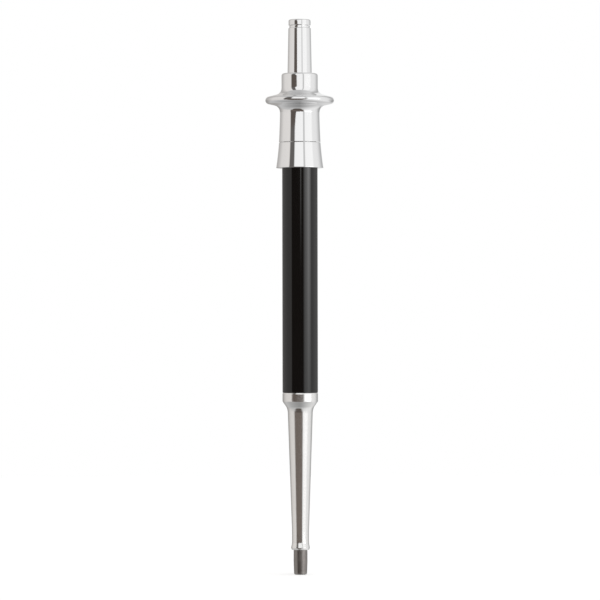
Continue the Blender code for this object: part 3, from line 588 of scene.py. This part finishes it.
def white_acetal():
    """Machined white plastic: soft sheen, faint tool lines and a little light inside."""
    material, tree, shader, place = new_material("acetal")
    lines = line_noise(tree, level_of(tree, place), scale=8.0, detail=3.0, roughness=0.6)
    cloud = noise(tree, place, scale=210.0, detail=3.0, roughness=0.6)
    grain = noise(tree, place, scale=3600.0, detail=3.0, roughness=0.6)
    fill(tree, shader, {
        "Base Color": between(tree, cloud, ACETAL_LIGHT, ACETAL_DARK),
        "Subsurface Weight": 0.08,
        "Subsurface Scale": 0.001,
        "Roughness": both(tree, spread(tree, cloud, 0.34, 0.42), spread(tree, grain, 0.0, 0.06)),
        "Normal": relief(tree, (lines, 0.12, 20), (grain, 0.12, 10)),
    })
    return material


def seal_rubber():
    """Moulded black rubber with a dusty bloom."""
    material, tree, shader, place = new_material("seal_rubber")
    bloom = noise(tree, place, scale=340.0, detail=4.0, roughness=0.6)
    grain = noise(tree, place, scale=5200.0, detail=3.0, roughness=0.7)
    fill(tree, shader, {
        "Base Color": between(tree, spread(tree, bloom, 0.0, 1.0), RUBBER_BLACK, RUBBER_BLOOM),
        "Specular IOR Level": 0.4,
        "Roughness": both(tree, spread(tree, bloom, 0.58, 0.72), spread(tree, grain, 0.0, 0.08)),
        "Normal": relief(tree, (grain, 0.25, 10)),
    })
    return material


def make_materials():
    return {
        "polished_chrome": polished_chrome(),
        "satin_aluminium": satin_aluminium(),
        "black_barrel": black_barrel(),
        "tip_steel": tip_steel(),
        "stainless": inner_metal("stainless", STAINLESS_LIGHT, STAINLESS_DARK, 0.18, 0.28, 9.0),
        "brass": inner_metal("brass", BRASS_LIGHT, BRASS_DARK, 0.20, 0.32, 7.0),
        "spring_steel": drawn_wire(),
        "acetal": white_acetal(),
        "seal_rubber": seal_rubber(),
    }


# ---------------------------------------------------------------- turned outer pieces
def tip_cone():
    """The bare cone for a disposable tip, with its air bore and a stem up into the nose."""
    bottom, top, _ = extent("tip_cone")
    cone_top = extent("nose_sleeve")[0] + TIP_SHOULDER
    outline = [(AIR_BORE, bottom + AIR_BORE_LEAD), (AIR_BORE + AIR_BORE_LEAD, bottom)]
    outline += arc(
        TIP_END_RADIUS - TIP_EDGE_ROUND, bottom + TIP_EDGE_ROUND, TIP_EDGE_ROUND, -90, 0
    )
    outline += [(TIP_CONE_RADIUS, TIP_TAPER_SHARE * cone_top)]
    outline += rounded([
        (TIP_CONE_RADIUS, cone_top, FINE_ROUND),
        (STEM_RADIUS, cone_top, 0.0),
        (STEM_RADIUS, top, FINE_ROUND),
        (AIR_BORE, top, FINE_ROUND),
        (AIR_BORE, bottom + AIR_BORE_LEAD, 0.0),
    ])[:-1]
    return turned("tip_cone_fine", outline)


def nose_outline():
    """The nose sleeve from its bore down round the bead, up the cone and ring to the spigot."""
    bottom, top, outer = extent("nose_sleeve")
    bead_low = bottom + NOSE_BEAD_LOW
    bead_high = bottom + NOSE_BEAD_HIGH
    bead_turn = (NOSE_BEAD_RADIUS - NOSE_BEAD_DROP, bead_low + NOSE_BEAD_FLAT)
    shoulder_r = NOSE_CONE_RADIUS + NOSE_SHOULDER_OUT * (outer - NOSE_CONE_RADIUS)
    shoulder_z = NOSE_CONE_TOP + NOSE_SHOULDER_UP * (NOSE_RING_BOTTOM - NOSE_CONE_TOP)
    outline = rounded([
        (NOSE_BORE, NOSE_WIDE_BORE_BOTTOM, 0.0),
        (NOSE_BORE, bottom, FINE_ROUND),
        (NOSE_BEAD_RADIUS - SEAT_GAP, bottom, EDGE_ROUND),
        (NOSE_BEAD_RADIUS, bead_low, NOSE_BEAD_ROUND),
        (*bead_turn, 0.0),
    ])
    outline += eased(*bead_turn, NOSE_NECK_RADIUS, bead_high, NOSE_BEAD_EASE, NOSE_BEAD_STEPS)
    outline += rounded([
        (NOSE_NECK_RADIUS, bead_high, 0.0),
        (NOSE_NECK_RADIUS, bottom + NOSE_NECK_TOP, NOSE_NECK_ROUND),
        (NOSE_CONE_RADIUS, NOSE_CONE_TOP, NOSE_CONE_ROUND),
        (shoulder_r, shoulder_z, NOSE_SHOULDER_ROUND),
        (outer, NOSE_RING_BOTTOM, NOSE_RING_ROUND),
        (outer, NOSE_RING_TOP - NOSE_BEVEL_HEIGHT, NOSE_BEVEL_LOW_ROUND),
        (outer - NOSE_BEVEL_WIDTH, NOSE_RING_TOP, NOSE_BEVEL_TOP_ROUND),
        (NOSE_SPIGOT_RADIUS, NOSE_RING_TOP, FINE_ROUND),
        (NOSE_SPIGOT_RADIUS, top, NOSE_SPIGOT_ROUND),
        (NOSE_WIDE_BORE, top, EDGE_ROUND),
        (NOSE_WIDE_BORE, NOSE_WIDE_BORE_BOTTOM, 0.0),
    ])[1:]
    return outline


def rod_holes(level):
    """Blind holes for the ejector rods, sunk from this level down, as one cutter."""
    bm = bmesh.new()
    for i in range(ROD_COUNT):
        angle = math.tau * i / ROD_COUNT + math.pi / 2
        made = bmesh.ops.create_cone(
            bm, cap_ends=True, segments=HOLE_STEPS, radius1=ROD_BORE * MM,
            radius2=ROD_BORE * MM, depth=2 * ROD_HOLE_DEPTH * MM,
        )
        x, y = ROD_CIRCLE * MM * math.cos(angle), ROD_CIRCLE * MM * math.sin(angle)
        bmesh.ops.translate(bm, verts=made["verts"], vec=(x, y, level * MM))
    mesh = bpy.data.meshes.new("rod_holes")
    bm.to_mesh(mesh)
    bm.free()
    return add_object("rod_holes", mesh)


def nose_sleeve():
    """The tapered nose with its ring, and with the holes for the ejector rods in its spigot."""
    obj = turned("nose_sleeve_fine", nose_outline())
    cutter = rod_holes(extent("nose_sleeve")[1])
    modifier = obj.modifiers.new("rod_holes", "BOOLEAN")
    modifier.operation = "DIFFERENCE"
    modifier.solver = "EXACT"
    modifier.object = cutter
    applied(obj)
    bpy.data.objects.remove(cutter)
    return welded(obj, BOOLEAN_WELD, SHARP_ANGLE)


def barrel():
    """A plain tube, which all but closes the gap over the nose ring."""
    bottom, top, outer = extent("barrel")
    bottom -= BARREL_DROP
    return turned("barrel_fine", rounded([
        (BARREL_BORE, bottom, FINE_ROUND),
        (outer, bottom, BARREL_LOW_ROUND),
        (outer, top, BARREL_TOP_ROUND),
        (BARREL_BORE, top, FINE_ROUND),
    ]))


def head_skirt():
    """The flared skirt, slightly hollow, with its lip below the seam."""
    bottom, top, outer = extent("head_skirt")
    lip = top - SKIRT_LIP
    top -= SEAM_DROP
    flare_bottom = bottom + SEAT_GAP
    outline = rounded([
        (SKIRT_BORE, lip, 0.0),
        (SKIRT_BORE, bottom, FINE_ROUND),
        (outer - SEAT_LEAN, bottom, EDGE_ROUND),
        (outer, flare_bottom, 0.0),
    ])
    for i in range(1, SKIRT_STEPS):
        share = i / SKIRT_STEPS
        straight = outer + (SKIRT_TOP_RADIUS - outer) * share
        sag = 4 * share * (1 - share) * SKIRT_HOLLOW
        outline.append((straight - sag, flare_bottom + (top - flare_bottom) * share))
    outline += rounded([
        (*outline[-1], 0.0),
        (SKIRT_TOP_RADIUS, top, SKIRT_SEAM_ROUND),
        (HEAD_BORE, top, FINE_ROUND),
        (HEAD_BORE, lip, 0.0),
        (SKIRT_BORE, lip, 0.0),
    ])[1:-1]
    return turned("head_skirt_fine", outline)


def finger_flange():
    """Upper sleeve, finger flange and collar, turned in one piece."""
    bottom, top, outer = extent("finger_flange")
    sleeve_top = bottom + SLEEVE_HEIGHT
    bottom -= SEAM_DROP
    rim_z = sleeve_top + RIM_ABOVE_SLEEVE
    collar_bottom = top - COLLAR_HEIGHT
    lip = top - LIP_HEIGHT
    under_r = SLEEVE_RADIUS + UNDER_FILLET
    top_r = COLLAR_RADIUS + TOP_FILLET
    sleeve_start = (SLEEVE_BOTTOM_RADIUS - SEAT_LEAN, bottom + SEAT_GAP)
    outline = rounded([
        (HEAD_BORE, sleeve_top, 0.0),
        (HEAD_BORE, bottom, FINE_ROUND),
        (SLEEVE_BOTTOM_RADIUS, bottom, SLEEVE_SEAM_ROUND),
        (*sleeve_start, 0.0),
    ])
    outline += eased(*sleeve_start, SLEEVE_RADIUS, sleeve_top, SLEEVE_EASE, SLEEVE_STEPS)
    outline += arc(under_r, sleeve_top, UNDER_FILLET, 180, 180 - RIM_SLOPE_DEG)
    outline += arc(outer - RIM_ROUND, rim_z, RIM_ROUND, -RIM_SLOPE_DEG, RIM_SLOPE_DEG)
    outline += arc(top_r, collar_bottom, TOP_FILLET, 180 + RIM_SLOPE_DEG, 180)
    outline += arc(COLLAR_RADIUS - COLLAR_EDGE, top - COLLAR_EDGE, COLLAR_EDGE, 0, 90)
    outline += rounded([
        (COLLAR_RADIUS - COLLAR_EDGE, top, 0.0),
        (LIP_BORE, top, EDGE_ROUND),
        (LIP_BORE, lip, FINE_ROUND),
        (BUSH_SEAT, lip, 0.0),
        (BUSH_SEAT, sleeve_top, 0.0),
        (HEAD_BORE, sleeve_top, 0.0),
    ])[1:-1]
    return turned("finger_flange_fine", outline)


def plunger_sleeve():
    """The tapered plunger with its stop step inside the collar and the groove under the cap."""
    bottom, top, stop_radius = extent("plunger_sleeve")
    step = bottom + STOP_STEP_HEIGHT
    collar_top = extent("finger_flange")[1]
    cone_top = top - GROOVE_HEIGHT
    return turned("plunger_sleeve_fine", rounded([
        (PLUNGER_BORE, bottom, FINE_ROUND),
        (stop_radius, bottom, FINE_ROUND),
        (stop_radius, step, FINE_ROUND),
        (PLUNGER_RADIUS, step, 0.0),
        (PLUNGER_RADIUS, collar_top, PLUNGER_BEND_ROUND),
        (PLUNGER_TOP_RADIUS, cone_top, PLUNGER_TOP_ROUND),
        (GROOVE_RADIUS, cone_top + GROOVE_SLOPE, GROOVE_ROUND),
        (GROOVE_RADIUS, top, 0.0),
        (PLUNGER_BORE, top, FINE_ROUND),
    ]))


def thumb_cap():
    """The cap: a spigot that goes into the plunger, a blind bore and a barely crowned top."""
    bottom, top, outer = extent("thumb_cap")
    head = top - CAP_HEIGHT
    socket = top - CAP_SOLID_TOP
    edge = top - CAP_EDGE
    outline = rounded([
        (CAP_BORE, socket, 0.0),
        (CAP_BORE, bottom, FINE_ROUND),
        (CAP_SPIGOT_RADIUS, bottom, EDGE_ROUND),
        (CAP_SPIGOT_RADIUS, head, CAP_SEAT_ROUND),
        (outer, head, CAP_LOW_ROUND),
        (outer, edge, 0.0),
    ])
    outline += arc(outer - CAP_EDGE, edge, CAP_EDGE, 0, CAP_EDGE_END_DEG)
    outline += [(CAP_CROWN_OUTER * outer, top - CAP_CROWN), (CAP_CROWN_INNER * outer, top)]
    outline += [(0.0, top), (0.0, socket)]
    return turned("thumb_cap_fine", outline)


# ---------------------------------------------------------------- springs
# The pitch of a closed end turn, in wire radii.
END_PITCH = 2.3
COIL_INPUTS = {
    "Base Level": "NodeSocketFloat",
    "Length": "NodeSocketFloat",
    "Mean Radius": "NodeSocketFloat",
    "Wire Radius": "NodeSocketFloat",
    "Turns": "NodeSocketFloat",
    "Steps": "NodeSocketInt",
    "Finish": "NodeSocketMaterial",
}


def coil_level(tree, given):
    """The wire's centre level: closed end turns, and an even pitch on the turns between."""
    wire = given["Wire Radius"]
    turns = given["Turns"]
    along = tree.nodes.new("GeometryNodeSplineParameter").outputs["Factor"]
    turn = maths(tree, "MULTIPLY", along, turns)
    end_pitch = maths(tree, "MULTIPLY", wire, END_PITCH)
    free = maths(tree, "SUBTRACT", turns, 2.0)
    dead = maths(tree, "MULTIPLY_ADD", wire, 2.0, maths(tree, "MULTIPLY", end_pitch, 2.0))
    pitch = maths(tree, "DIVIDE", maths(tree, "SUBTRACT", given["Length"], dead), free)
    before_last = maths(tree, "SUBTRACT", turns, 1.0)
    first = maths(tree, "MINIMUM", turn, 1.0)
    last = maths(tree, "MAXIMUM", maths(tree, "SUBTRACT", turn, before_last), 0.0)
    closed = maths(tree, "MULTIPLY", end_pitch, maths(tree, "ADD", first, last))
    past_first = maths(tree, "MAXIMUM", maths(tree, "SUBTRACT", turn, 1.0), 0.0)
    working = maths(tree, "MINIMUM", past_first, free)
    climb = maths(tree, "MULTIPLY_ADD", pitch, working, closed)
    return maths(tree, "ADD", maths(tree, "ADD", climb, wire), given["Base Level"])


def coil_tree():
    """A compression spring with one closed turn at each end, standing on its base level."""
    tree = bpy.data.node_groups.new("coil_spring", "GeometryNodeTree")
    tree.interface.new_socket("Geometry", in_out="OUTPUT", socket_type="NodeSocketGeometry")
    keys = {}
    for name, kind in COIL_INPUTS.items():
        keys[name] = tree.interface.new_socket(name, in_out="INPUT", socket_type=kind).identifier
    given = tree.nodes.new("NodeGroupInput").outputs
    spiral = add_node(tree, "GeometryNodeCurveSpiral", {
        "Resolution": given["Steps"], "Rotations": given["Turns"],
        "Start Radius": given["Mean Radius"], "End Radius": given["Mean Radius"], "Height": 0.0,
    }).outputs[0]
    offset = add_node(tree, "ShaderNodeCombineXYZ", {"Z": coil_level(tree, given)}).outputs[0]
    path = add_node(
        tree, "GeometryNodeSetPosition", {"Geometry": spiral, "Offset": offset}
    ).outputs[0]
    path = add_node(tree, "GeometryNodeSetCurveNormal", {"Curve": path}, mode="Z_UP").outputs[0]
    section = add_node(
        tree, "GeometryNodeCurvePrimitiveCircle",
        {"Resolution": WIRE_STEPS, "Radius": given["Wire Radius"]},
    ).outputs[0]
    wire = add_node(
        tree, "GeometryNodeCurveToMesh",
        {"Curve": path, "Profile Curve": section, "Fill Caps": True},
    ).outputs[0]
    wire = add_node(tree, "GeometryNodeSetShadeSmooth", {"Geometry": wire}).outputs[0]
    wire = add_node(tree, "GeometryNodeRealizeInstances", {"Geometry": wire}).outputs[0]
    wire = add_node(
        tree, "GeometryNodeSetMaterial", {"Geometry": wire, "Material": given["Finish"]}
    ).outputs[0]
    add_node(tree, "NodeGroupOutput", {"Geometry": wire})
    return tree, keys


def coil(name, tree, keys, base, length, radius, wire, turns, material):
    """One spring as a plain mesh, from sizes in millimetres. The wire size is a diameter."""
    holder = add_object(name, bpy.data.meshes.new(name + "_start"))
    modifier = holder.modifiers.new("coil", "NODES")
    modifier.node_group = tree
    sizes = {
        "Base Level": base * MM, "Length": length * MM, "Mean Radius": radius * MM,
        "Wire Radius": wire * MM / 2, "Turns": turns, "Steps": COIL_STEPS, "Finish": material,
    }
    for key, value in sizes.items():
        modifier[keys[key]] = value
    return welded(applied(holder), WIRE_WELD, WIRE_SHARP_ANGLE)


# Mean radius, wire diameter and turns, then the body that it rides on, and the joint that
# squashes it with that joint's travel. Lengths are in millimetres.
SPRINGS = {
    "ejector_spring": (3.3, 0.75, 7.0, "handle", "tip_eject", 5.0),
    "blowout_spring": (4.6, 0.9, 5.5, "ejector", "blowout_travel", 4.0),
    "return_spring": (3.8, 0.7, 14.0, "stop_stage", "plunger_stroke", 13.0),
}


def springs(materials):
    tree, keys = coil_tree()
    material = materials["spring_steel"]
    for node, (radius, wire, turns, body, joint, travel) in SPRINGS.items():
        bottom, top, _ = extent(node)
        length = top - bottom
        piece = coil(node + "_fine", tree, keys, bottom, length, radius, wire, turns, material)
        stands_for(piece, node, body, material)
        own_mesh(piece)


# ---------------------------------------------------------------- the works
INNER_FINISH = {
    "stainless": (
        "cylinder_tube", "shaft_tube", "head_core", "ejector_rod_1", "ejector_rod_2",
        "ejector_rod_3", "ejector_yoke", "blowout_cage", "cage_cap", "piston", "plunger_rod",
        "stop_lock_nut",
    ),
    "brass": (
        "seal_gland", "bulkhead", "rod_nut_1", "rod_nut_2", "rod_nut_3", "first_stop_ring",
        "stop_collar", "spring_cap",
    ),
    "spring_steel": ("rod_circlip",),
    "acetal": ("piston_seal", "plunger_bush", "nose_bush"),
    "seal_rubber": ("tip_cone_gasket", "seal_o_ring", "stop_buffer"),
}


def dress_works(materials):
    """The inner CAD nodes keep their meshes and get their finishes."""
    for slot, names in INNER_FINISH.items():
        for name in names:
            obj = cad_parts[name]
            for place in obj.material_slots:
                place.material = materials[slot]
            if not obj.material_slots:
                obj.data.materials.append(materials[slot])


OUTER_PIECES = (
    (tip_cone, "tip_cone", "handle", "tip_steel"),
    (barrel, "barrel", "handle", "black_barrel"),
    (head_skirt, "head_skirt", "handle", "polished_chrome"),
    (finger_flange, "finger_flange", "handle", "polished_chrome"),
    (nose_sleeve, "nose_sleeve", "ejector", "satin_aluminium"),
    (plunger_sleeve, "plunger_sleeve", "plunger", "polished_chrome"),
    (thumb_cap, "thumb_cap", "plunger", "polished_chrome"),
)


def outer_pieces(materials):
    for make, node, body, slot in OUTER_PIECES:
        stands_for(make(), node, body, materials[slot])


# ---------------------------------------------------------------- studio
# A ring of light is (degrees, brightness) stops: 0 is the front, and right is positive.
FRONT_DARK = 0.084
UPPER_LIGHT = (
    (-180, 0.62), (-161, 0.56), (-156, 0.42), (-143, 0.46), (-128, 0.55), (-116, 0.63),
    (-106, 0.70), (-60, 0.73), (-56, 0.64), (-52, 0.12), (-31, 0.11), (-26, 0.92), (18, 0.95),
    (20, 0.52), (27, 0.62), (29, 0.96), (70, 0.98), (76, 0.84), (100, 0.82), (114, 0.76),
    (126, 0.62), (143, 0.46), (156, 0.44), (161, 0.80), (180, 0.86),
)
LOWER_CARD = (
    (-180, 0.38), (-161, 0.36), (-156, 0.32), (-143, 0.38), (-128, 0.48), (-116, 0.58),
    (-106, 0.66), (-61, 0.72), (-57, 0.62), (-53, FRONT_DARK), (20, FRONT_DARK), (26, 0.90),
    (30, 0.97), (70, 0.97), (76, 0.84), (100, 0.82), (114, 0.76), (126, 0.58), (143, 0.38),
    (156, 0.32), (161, 0.55), (180, 0.72),
)
LAMP_BAND = (
    (-180, 0.0), (27, 0.0), (32, 0.9), (43, 1.7), (50, 2.6), (57, 3.5), (64, 2.7), (72, 1.3),
    (79, 0.0), (180, 0.0),
)
CARD_SLIT = ((-180, 0.0), (1, 0.0), (3, 1.3), (8, 1.3), (10, 0.0), (180, 0.0))
CARD_GLOW = ((-180, 0.0), (-53, 0.0), (-50, 0.06), (17, 0.06), (20, 0.0), (180, 0.0))
BRIGHTEST = 4.0
WARM_DARK = (1.20, 1.0, 0.88)
WARM_GAP = (1.06, 1.0, 0.96)
WARM_WALL = (1.03, 1.0, 0.975)
NEUTRAL = (1.0, 1.0, 1.0)
WALL_END_DEG = -52.5
DARK_BELOW = 0.2

CARD_LOW_DEG = 2.5
CARD_HIGH_DEG = 3.0
CORNER_START_DEG = -4.0
CORNER_WIDTH_DEG = 20.0
CORNER_RISE_DEG = 2.6
CORNER_TOP_DEG = 4.0
CURVE_POWER = 4.0
LAMP_BOTTOM_DEG = -3.0
LAMP_BRIGHTEST_DEG = 2.2
SLIT_BOTTOM_DEG = 0.6
SLIT_BRIGHTEST_DEG = 2.2
GLOW_BOTTOM_DEG = -14.0
GLOW_FULL_DEG = -9.0
GLOW_FADES_DEG = -4.5
GLOW_TOP_DEG = -2.5
CEILING_DEG = 48.0
CEILING_LIGHT = 0.50
TABLE_DEG = -36.0
TABLE_LIGHT = 0.52
TABLE_DARK = 0.26
TABLE_DARK_DEG = -80.0
ARCH_MIDDLE_DEG = -15.5
ARCH_HALF_DEG = 35.5
ARCH_RISE_DEG = 31.0
ARCH_TOP_DEG = 20.0
FADE_DEG = 12.0
SIDE_LIGHT = 0.38
BANDS = (
    (LAMP_BAND, NEUTRAL, (LAMP_BOTTOM_DEG, LAMP_BRIGHTEST_DEG, CARD_LOW_DEG, CARD_HIGH_DEG)),
    (CARD_SLIT, NEUTRAL, (SLIT_BOTTOM_DEG, SLIT_BRIGHTEST_DEG, CARD_LOW_DEG, CARD_HIGH_DEG)),
    (CARD_GLOW, WARM_DARK, (GLOW_BOTTOM_DEG, GLOW_FULL_DEG, GLOW_FADES_DEG, GLOW_TOP_DEG)),
)


def grey(light):
    """A plain light as a colour on the studio's scale, where 1 is the brightest light."""
    return [light / BRIGHTEST] * 3


def ring_of_light(tree, turn, stops, tint):
    """Light by direction round the object. The tint is for its dark stretches."""
    ramp = add_node(tree, "ShaderNodeValToRGB", {"Fac": turn})
    points = ramp.color_ramp.elements
    while len(points) > 1:
        points.remove(points[-1])
    for i, (degrees, light) in enumerate(stops):
        place = degrees / 360 + 0.5
        point = points[0] if i == 0 else points.new(place)
        point.position = place
        wall = WARM_WALL if degrees < WALL_END_DEG else NEUTRAL
        cast = tint if light < DARK_BELOW else wall
        point.color = (*[light / BRIGHTEST * c for c in cast], 1.0)
    return ramp.outputs["Color"]


def fade(tree, height, start_deg, end_deg):
    """0 below the first elevation and 1 above the second."""
    return spread(tree, height, 0.0, 1.0, math.radians(start_deg), math.radians(end_deg))


def opposite(tree, share):
    return maths(tree, "SUBTRACT", 1.0, share)


def band_share(tree, height, start_deg, full_deg, fades_deg, end_deg):
    """1 between the two inner elevations, fading to 0 at the two outer ones."""
    rising = fade(tree, height, start_deg, full_deg)
    return maths(tree, "MULTIPLY", rising, opposite(tree, fade(tree, height, fades_deg, end_deg)))


def curved_edge(tree, aside, width_deg, rise_deg, top_deg):
    """How far an edge has risen at this distance aside: hardly at first, then steeply."""
    share = maths(tree, "DIVIDE", aside, math.radians(width_deg))
    power = maths(tree, "POWER", share, CURVE_POWER)
    rise = maths(tree, "MULTIPLY", power, math.radians(rise_deg))
    return maths(tree, "MINIMUM", rise, math.radians(top_deg))


def softboxes_and_card(tree, angle, turn, height):
    """Softboxes above and a dark card low in front. The front softbox has a rounded corner."""
    into_corner = maths(tree, "SUBTRACT", math.radians(CORNER_START_DEG), angle)
    into_corner = maths(tree, "MAXIMUM", into_corner, 0.0)
    lift = curved_edge(tree, into_corner, CORNER_WIDTH_DEG, CORNER_RISE_DEG, CORNER_TOP_DEG)
    in_front = maths(tree, "GREATER_THAN", angle, math.radians(WALL_END_DEG))
    over_card = maths(tree, "SUBTRACT", height, maths(tree, "MULTIPLY", lift, in_front))
    upper = ring_of_light(tree, turn, UPPER_LIGHT, WARM_GAP)
    lower = ring_of_light(tree, turn, LOWER_CARD, WARM_DARK)
    return between(tree, fade(tree, over_card, CARD_LOW_DEG, CARD_HIGH_DEG), lower, upper)


def over_table(tree, angle, height):
    """1 above the table's far edge, which rises to both sides as an arch upside down."""
    aside = maths(tree, "SUBTRACT", angle, math.radians(ARCH_MIDDLE_DEG))
    aside = maths(tree, "ABSOLUTE", aside)
    rise = curved_edge(tree, aside, ARCH_HALF_DEG, ARCH_RISE_DEG, ARCH_TOP_DEG)
    over_edge = maths(tree, "SUBTRACT", height, rise)
    return fade(tree, over_edge, TABLE_DEG - FADE_DEG, TABLE_DEG)


def studio_light():
    """Softboxes all round with a dark gap in front, thin bands of light, table and ceiling.

    The camera sees plain white, and the object is lit by and mirrors the studio.
    """
    world = bpy.data.worlds.new("studio")
    world.use_nodes = True
    tree = world.node_tree
    tree.nodes.clear()
    direction = tree.nodes.new("ShaderNodeTexCoord").outputs["Generated"]
    parts = add_node(tree, "ShaderNodeSeparateXYZ", {0: direction}).outputs
    angle = maths(tree, "ARCTAN2", parts["X"], maths(tree, "MULTIPLY", parts["Y"], -1.0))
    turn = maths(tree, "MULTIPLY_ADD", angle, 1.0 / math.tau, 0.5)
    height = maths(tree, "ARCSINE", parts["Z"])
    room = softboxes_and_card(tree, angle, turn, height)
    for stops, tint, levels in BANDS:
        ring = ring_of_light(tree, turn, stops, tint)
        room = between(tree, band_share(tree, height, *levels), room, ring, blend="ADD")
    near_table = fade(tree, height, TABLE_DARK_DEG, TABLE_DEG)
    table = between(tree, near_table, grey(TABLE_DARK), grey(TABLE_LIGHT))
    above_table = over_table(tree, angle, height)
    room = between(tree, above_table, table, room)
    overhead = fade(tree, height, CEILING_DEG, CEILING_DEG + FADE_DEG)
    room = between(tree, overhead, room, grey(CEILING_LIGHT))
    beyond = maths(tree, "MAXIMUM", overhead, opposite(tree, above_table))
    to_the_right = maths(tree, "MAXIMUM", parts["X"], 0.0)
    side_share = maths(tree, "MULTIPLY", beyond, to_the_right)
    room = between(tree, side_share, room, grey(SIDE_LIGHT), blend="ADD")
    lit = add_node(tree, "ShaderNodeBackground", {"Color": room, "Strength": BRIGHTEST})
    plain = add_node(tree, "ShaderNodeBackground", {"Color": (1, 1, 1, 1), "Strength": 1.0})
    seen = tree.nodes.new("ShaderNodeLightPath").outputs["Is Camera Ray"]
    mixed = add_node(
        tree, "ShaderNodeMixShader", {0: seen, 1: lit.outputs[0], 2: plain.outputs[0]}
    )
    add_node(tree, "ShaderNodeOutputWorld", {"Surface": mixed.outputs[0]})
    bpy.context.scene.world = world


# ---------------------------------------------------------------- floor and camera, in metres
FLOOR_RADIUS = 0.9
FLOOR_STEPS = 96
FLOOR_GLOW = 0.45
FLOOR_LIGHT, FLOOR_SHADE = (0.93, 0.93, 0.93), (0.90, 0.90, 0.90)

SENSOR = 36.0
CLIP_START = 0.01
CAMERA_DISTANCE = 1.6
CAMERA_HEIGHT = 0.1229
CAMERA_SHIFT = -0.00004
CAMERA_ROLL = 0.0018
FRAME_WIDTH = 0.2687


def floor_material():
    material, tree, shader, place = new_material("studio_floor")
    cloud = noise(tree, place, scale=3.0, detail=2.0, roughness=0.5)
    fill(tree, shader, {
        "Base Color": between(tree, cloud, FLOOR_LIGHT, FLOOR_SHADE),
        "Roughness": 0.9,
        "Specular IOR Level": 0.0,
        "Emission Color": (1.0, 1.0, 1.0, 1.0),
        "Emission Strength": FLOOR_GLOW,
    })
    return material


def studio_floor():
    """A pale disc that isn't mirrored in the metal."""
    bm = bmesh.new()
    bmesh.ops.create_circle(bm, cap_ends=True, segments=FLOOR_STEPS, radius=FLOOR_RADIUS)
    mesh = bpy.data.meshes.new("studio_floor")
    bm.to_mesh(mesh)
    bm.free()
    obj = add_object("studio_floor", mesh)
    mesh.materials.append(floor_material())
    obj.visible_glossy = False


def camera():
    data = bpy.data.cameras.new("camera")
    data.sensor_width = SENSOR
    data.lens = SENSOR * CAMERA_DISTANCE / FRAME_WIDTH
    data.clip_start = CLIP_START
    obj = bpy.data.objects.new("camera", data)
    obj.location = (CAMERA_SHIFT, -CAMERA_DISTANCE, CAMERA_HEIGHT)
    obj.rotation_euler = (math.radians(90), CAMERA_ROLL, 0.0)
    bpy.context.scene.collection.objects.link(obj)
    bpy.context.scene.camera = obj


def main():
    materials = make_materials()
    outer_pieces(materials)
    springs(materials)
    dress_works(materials)
    studio_light()
    studio_floor()
    camera()
    bpy.context.scene.view_settings.view_transform = "Standard"


main()
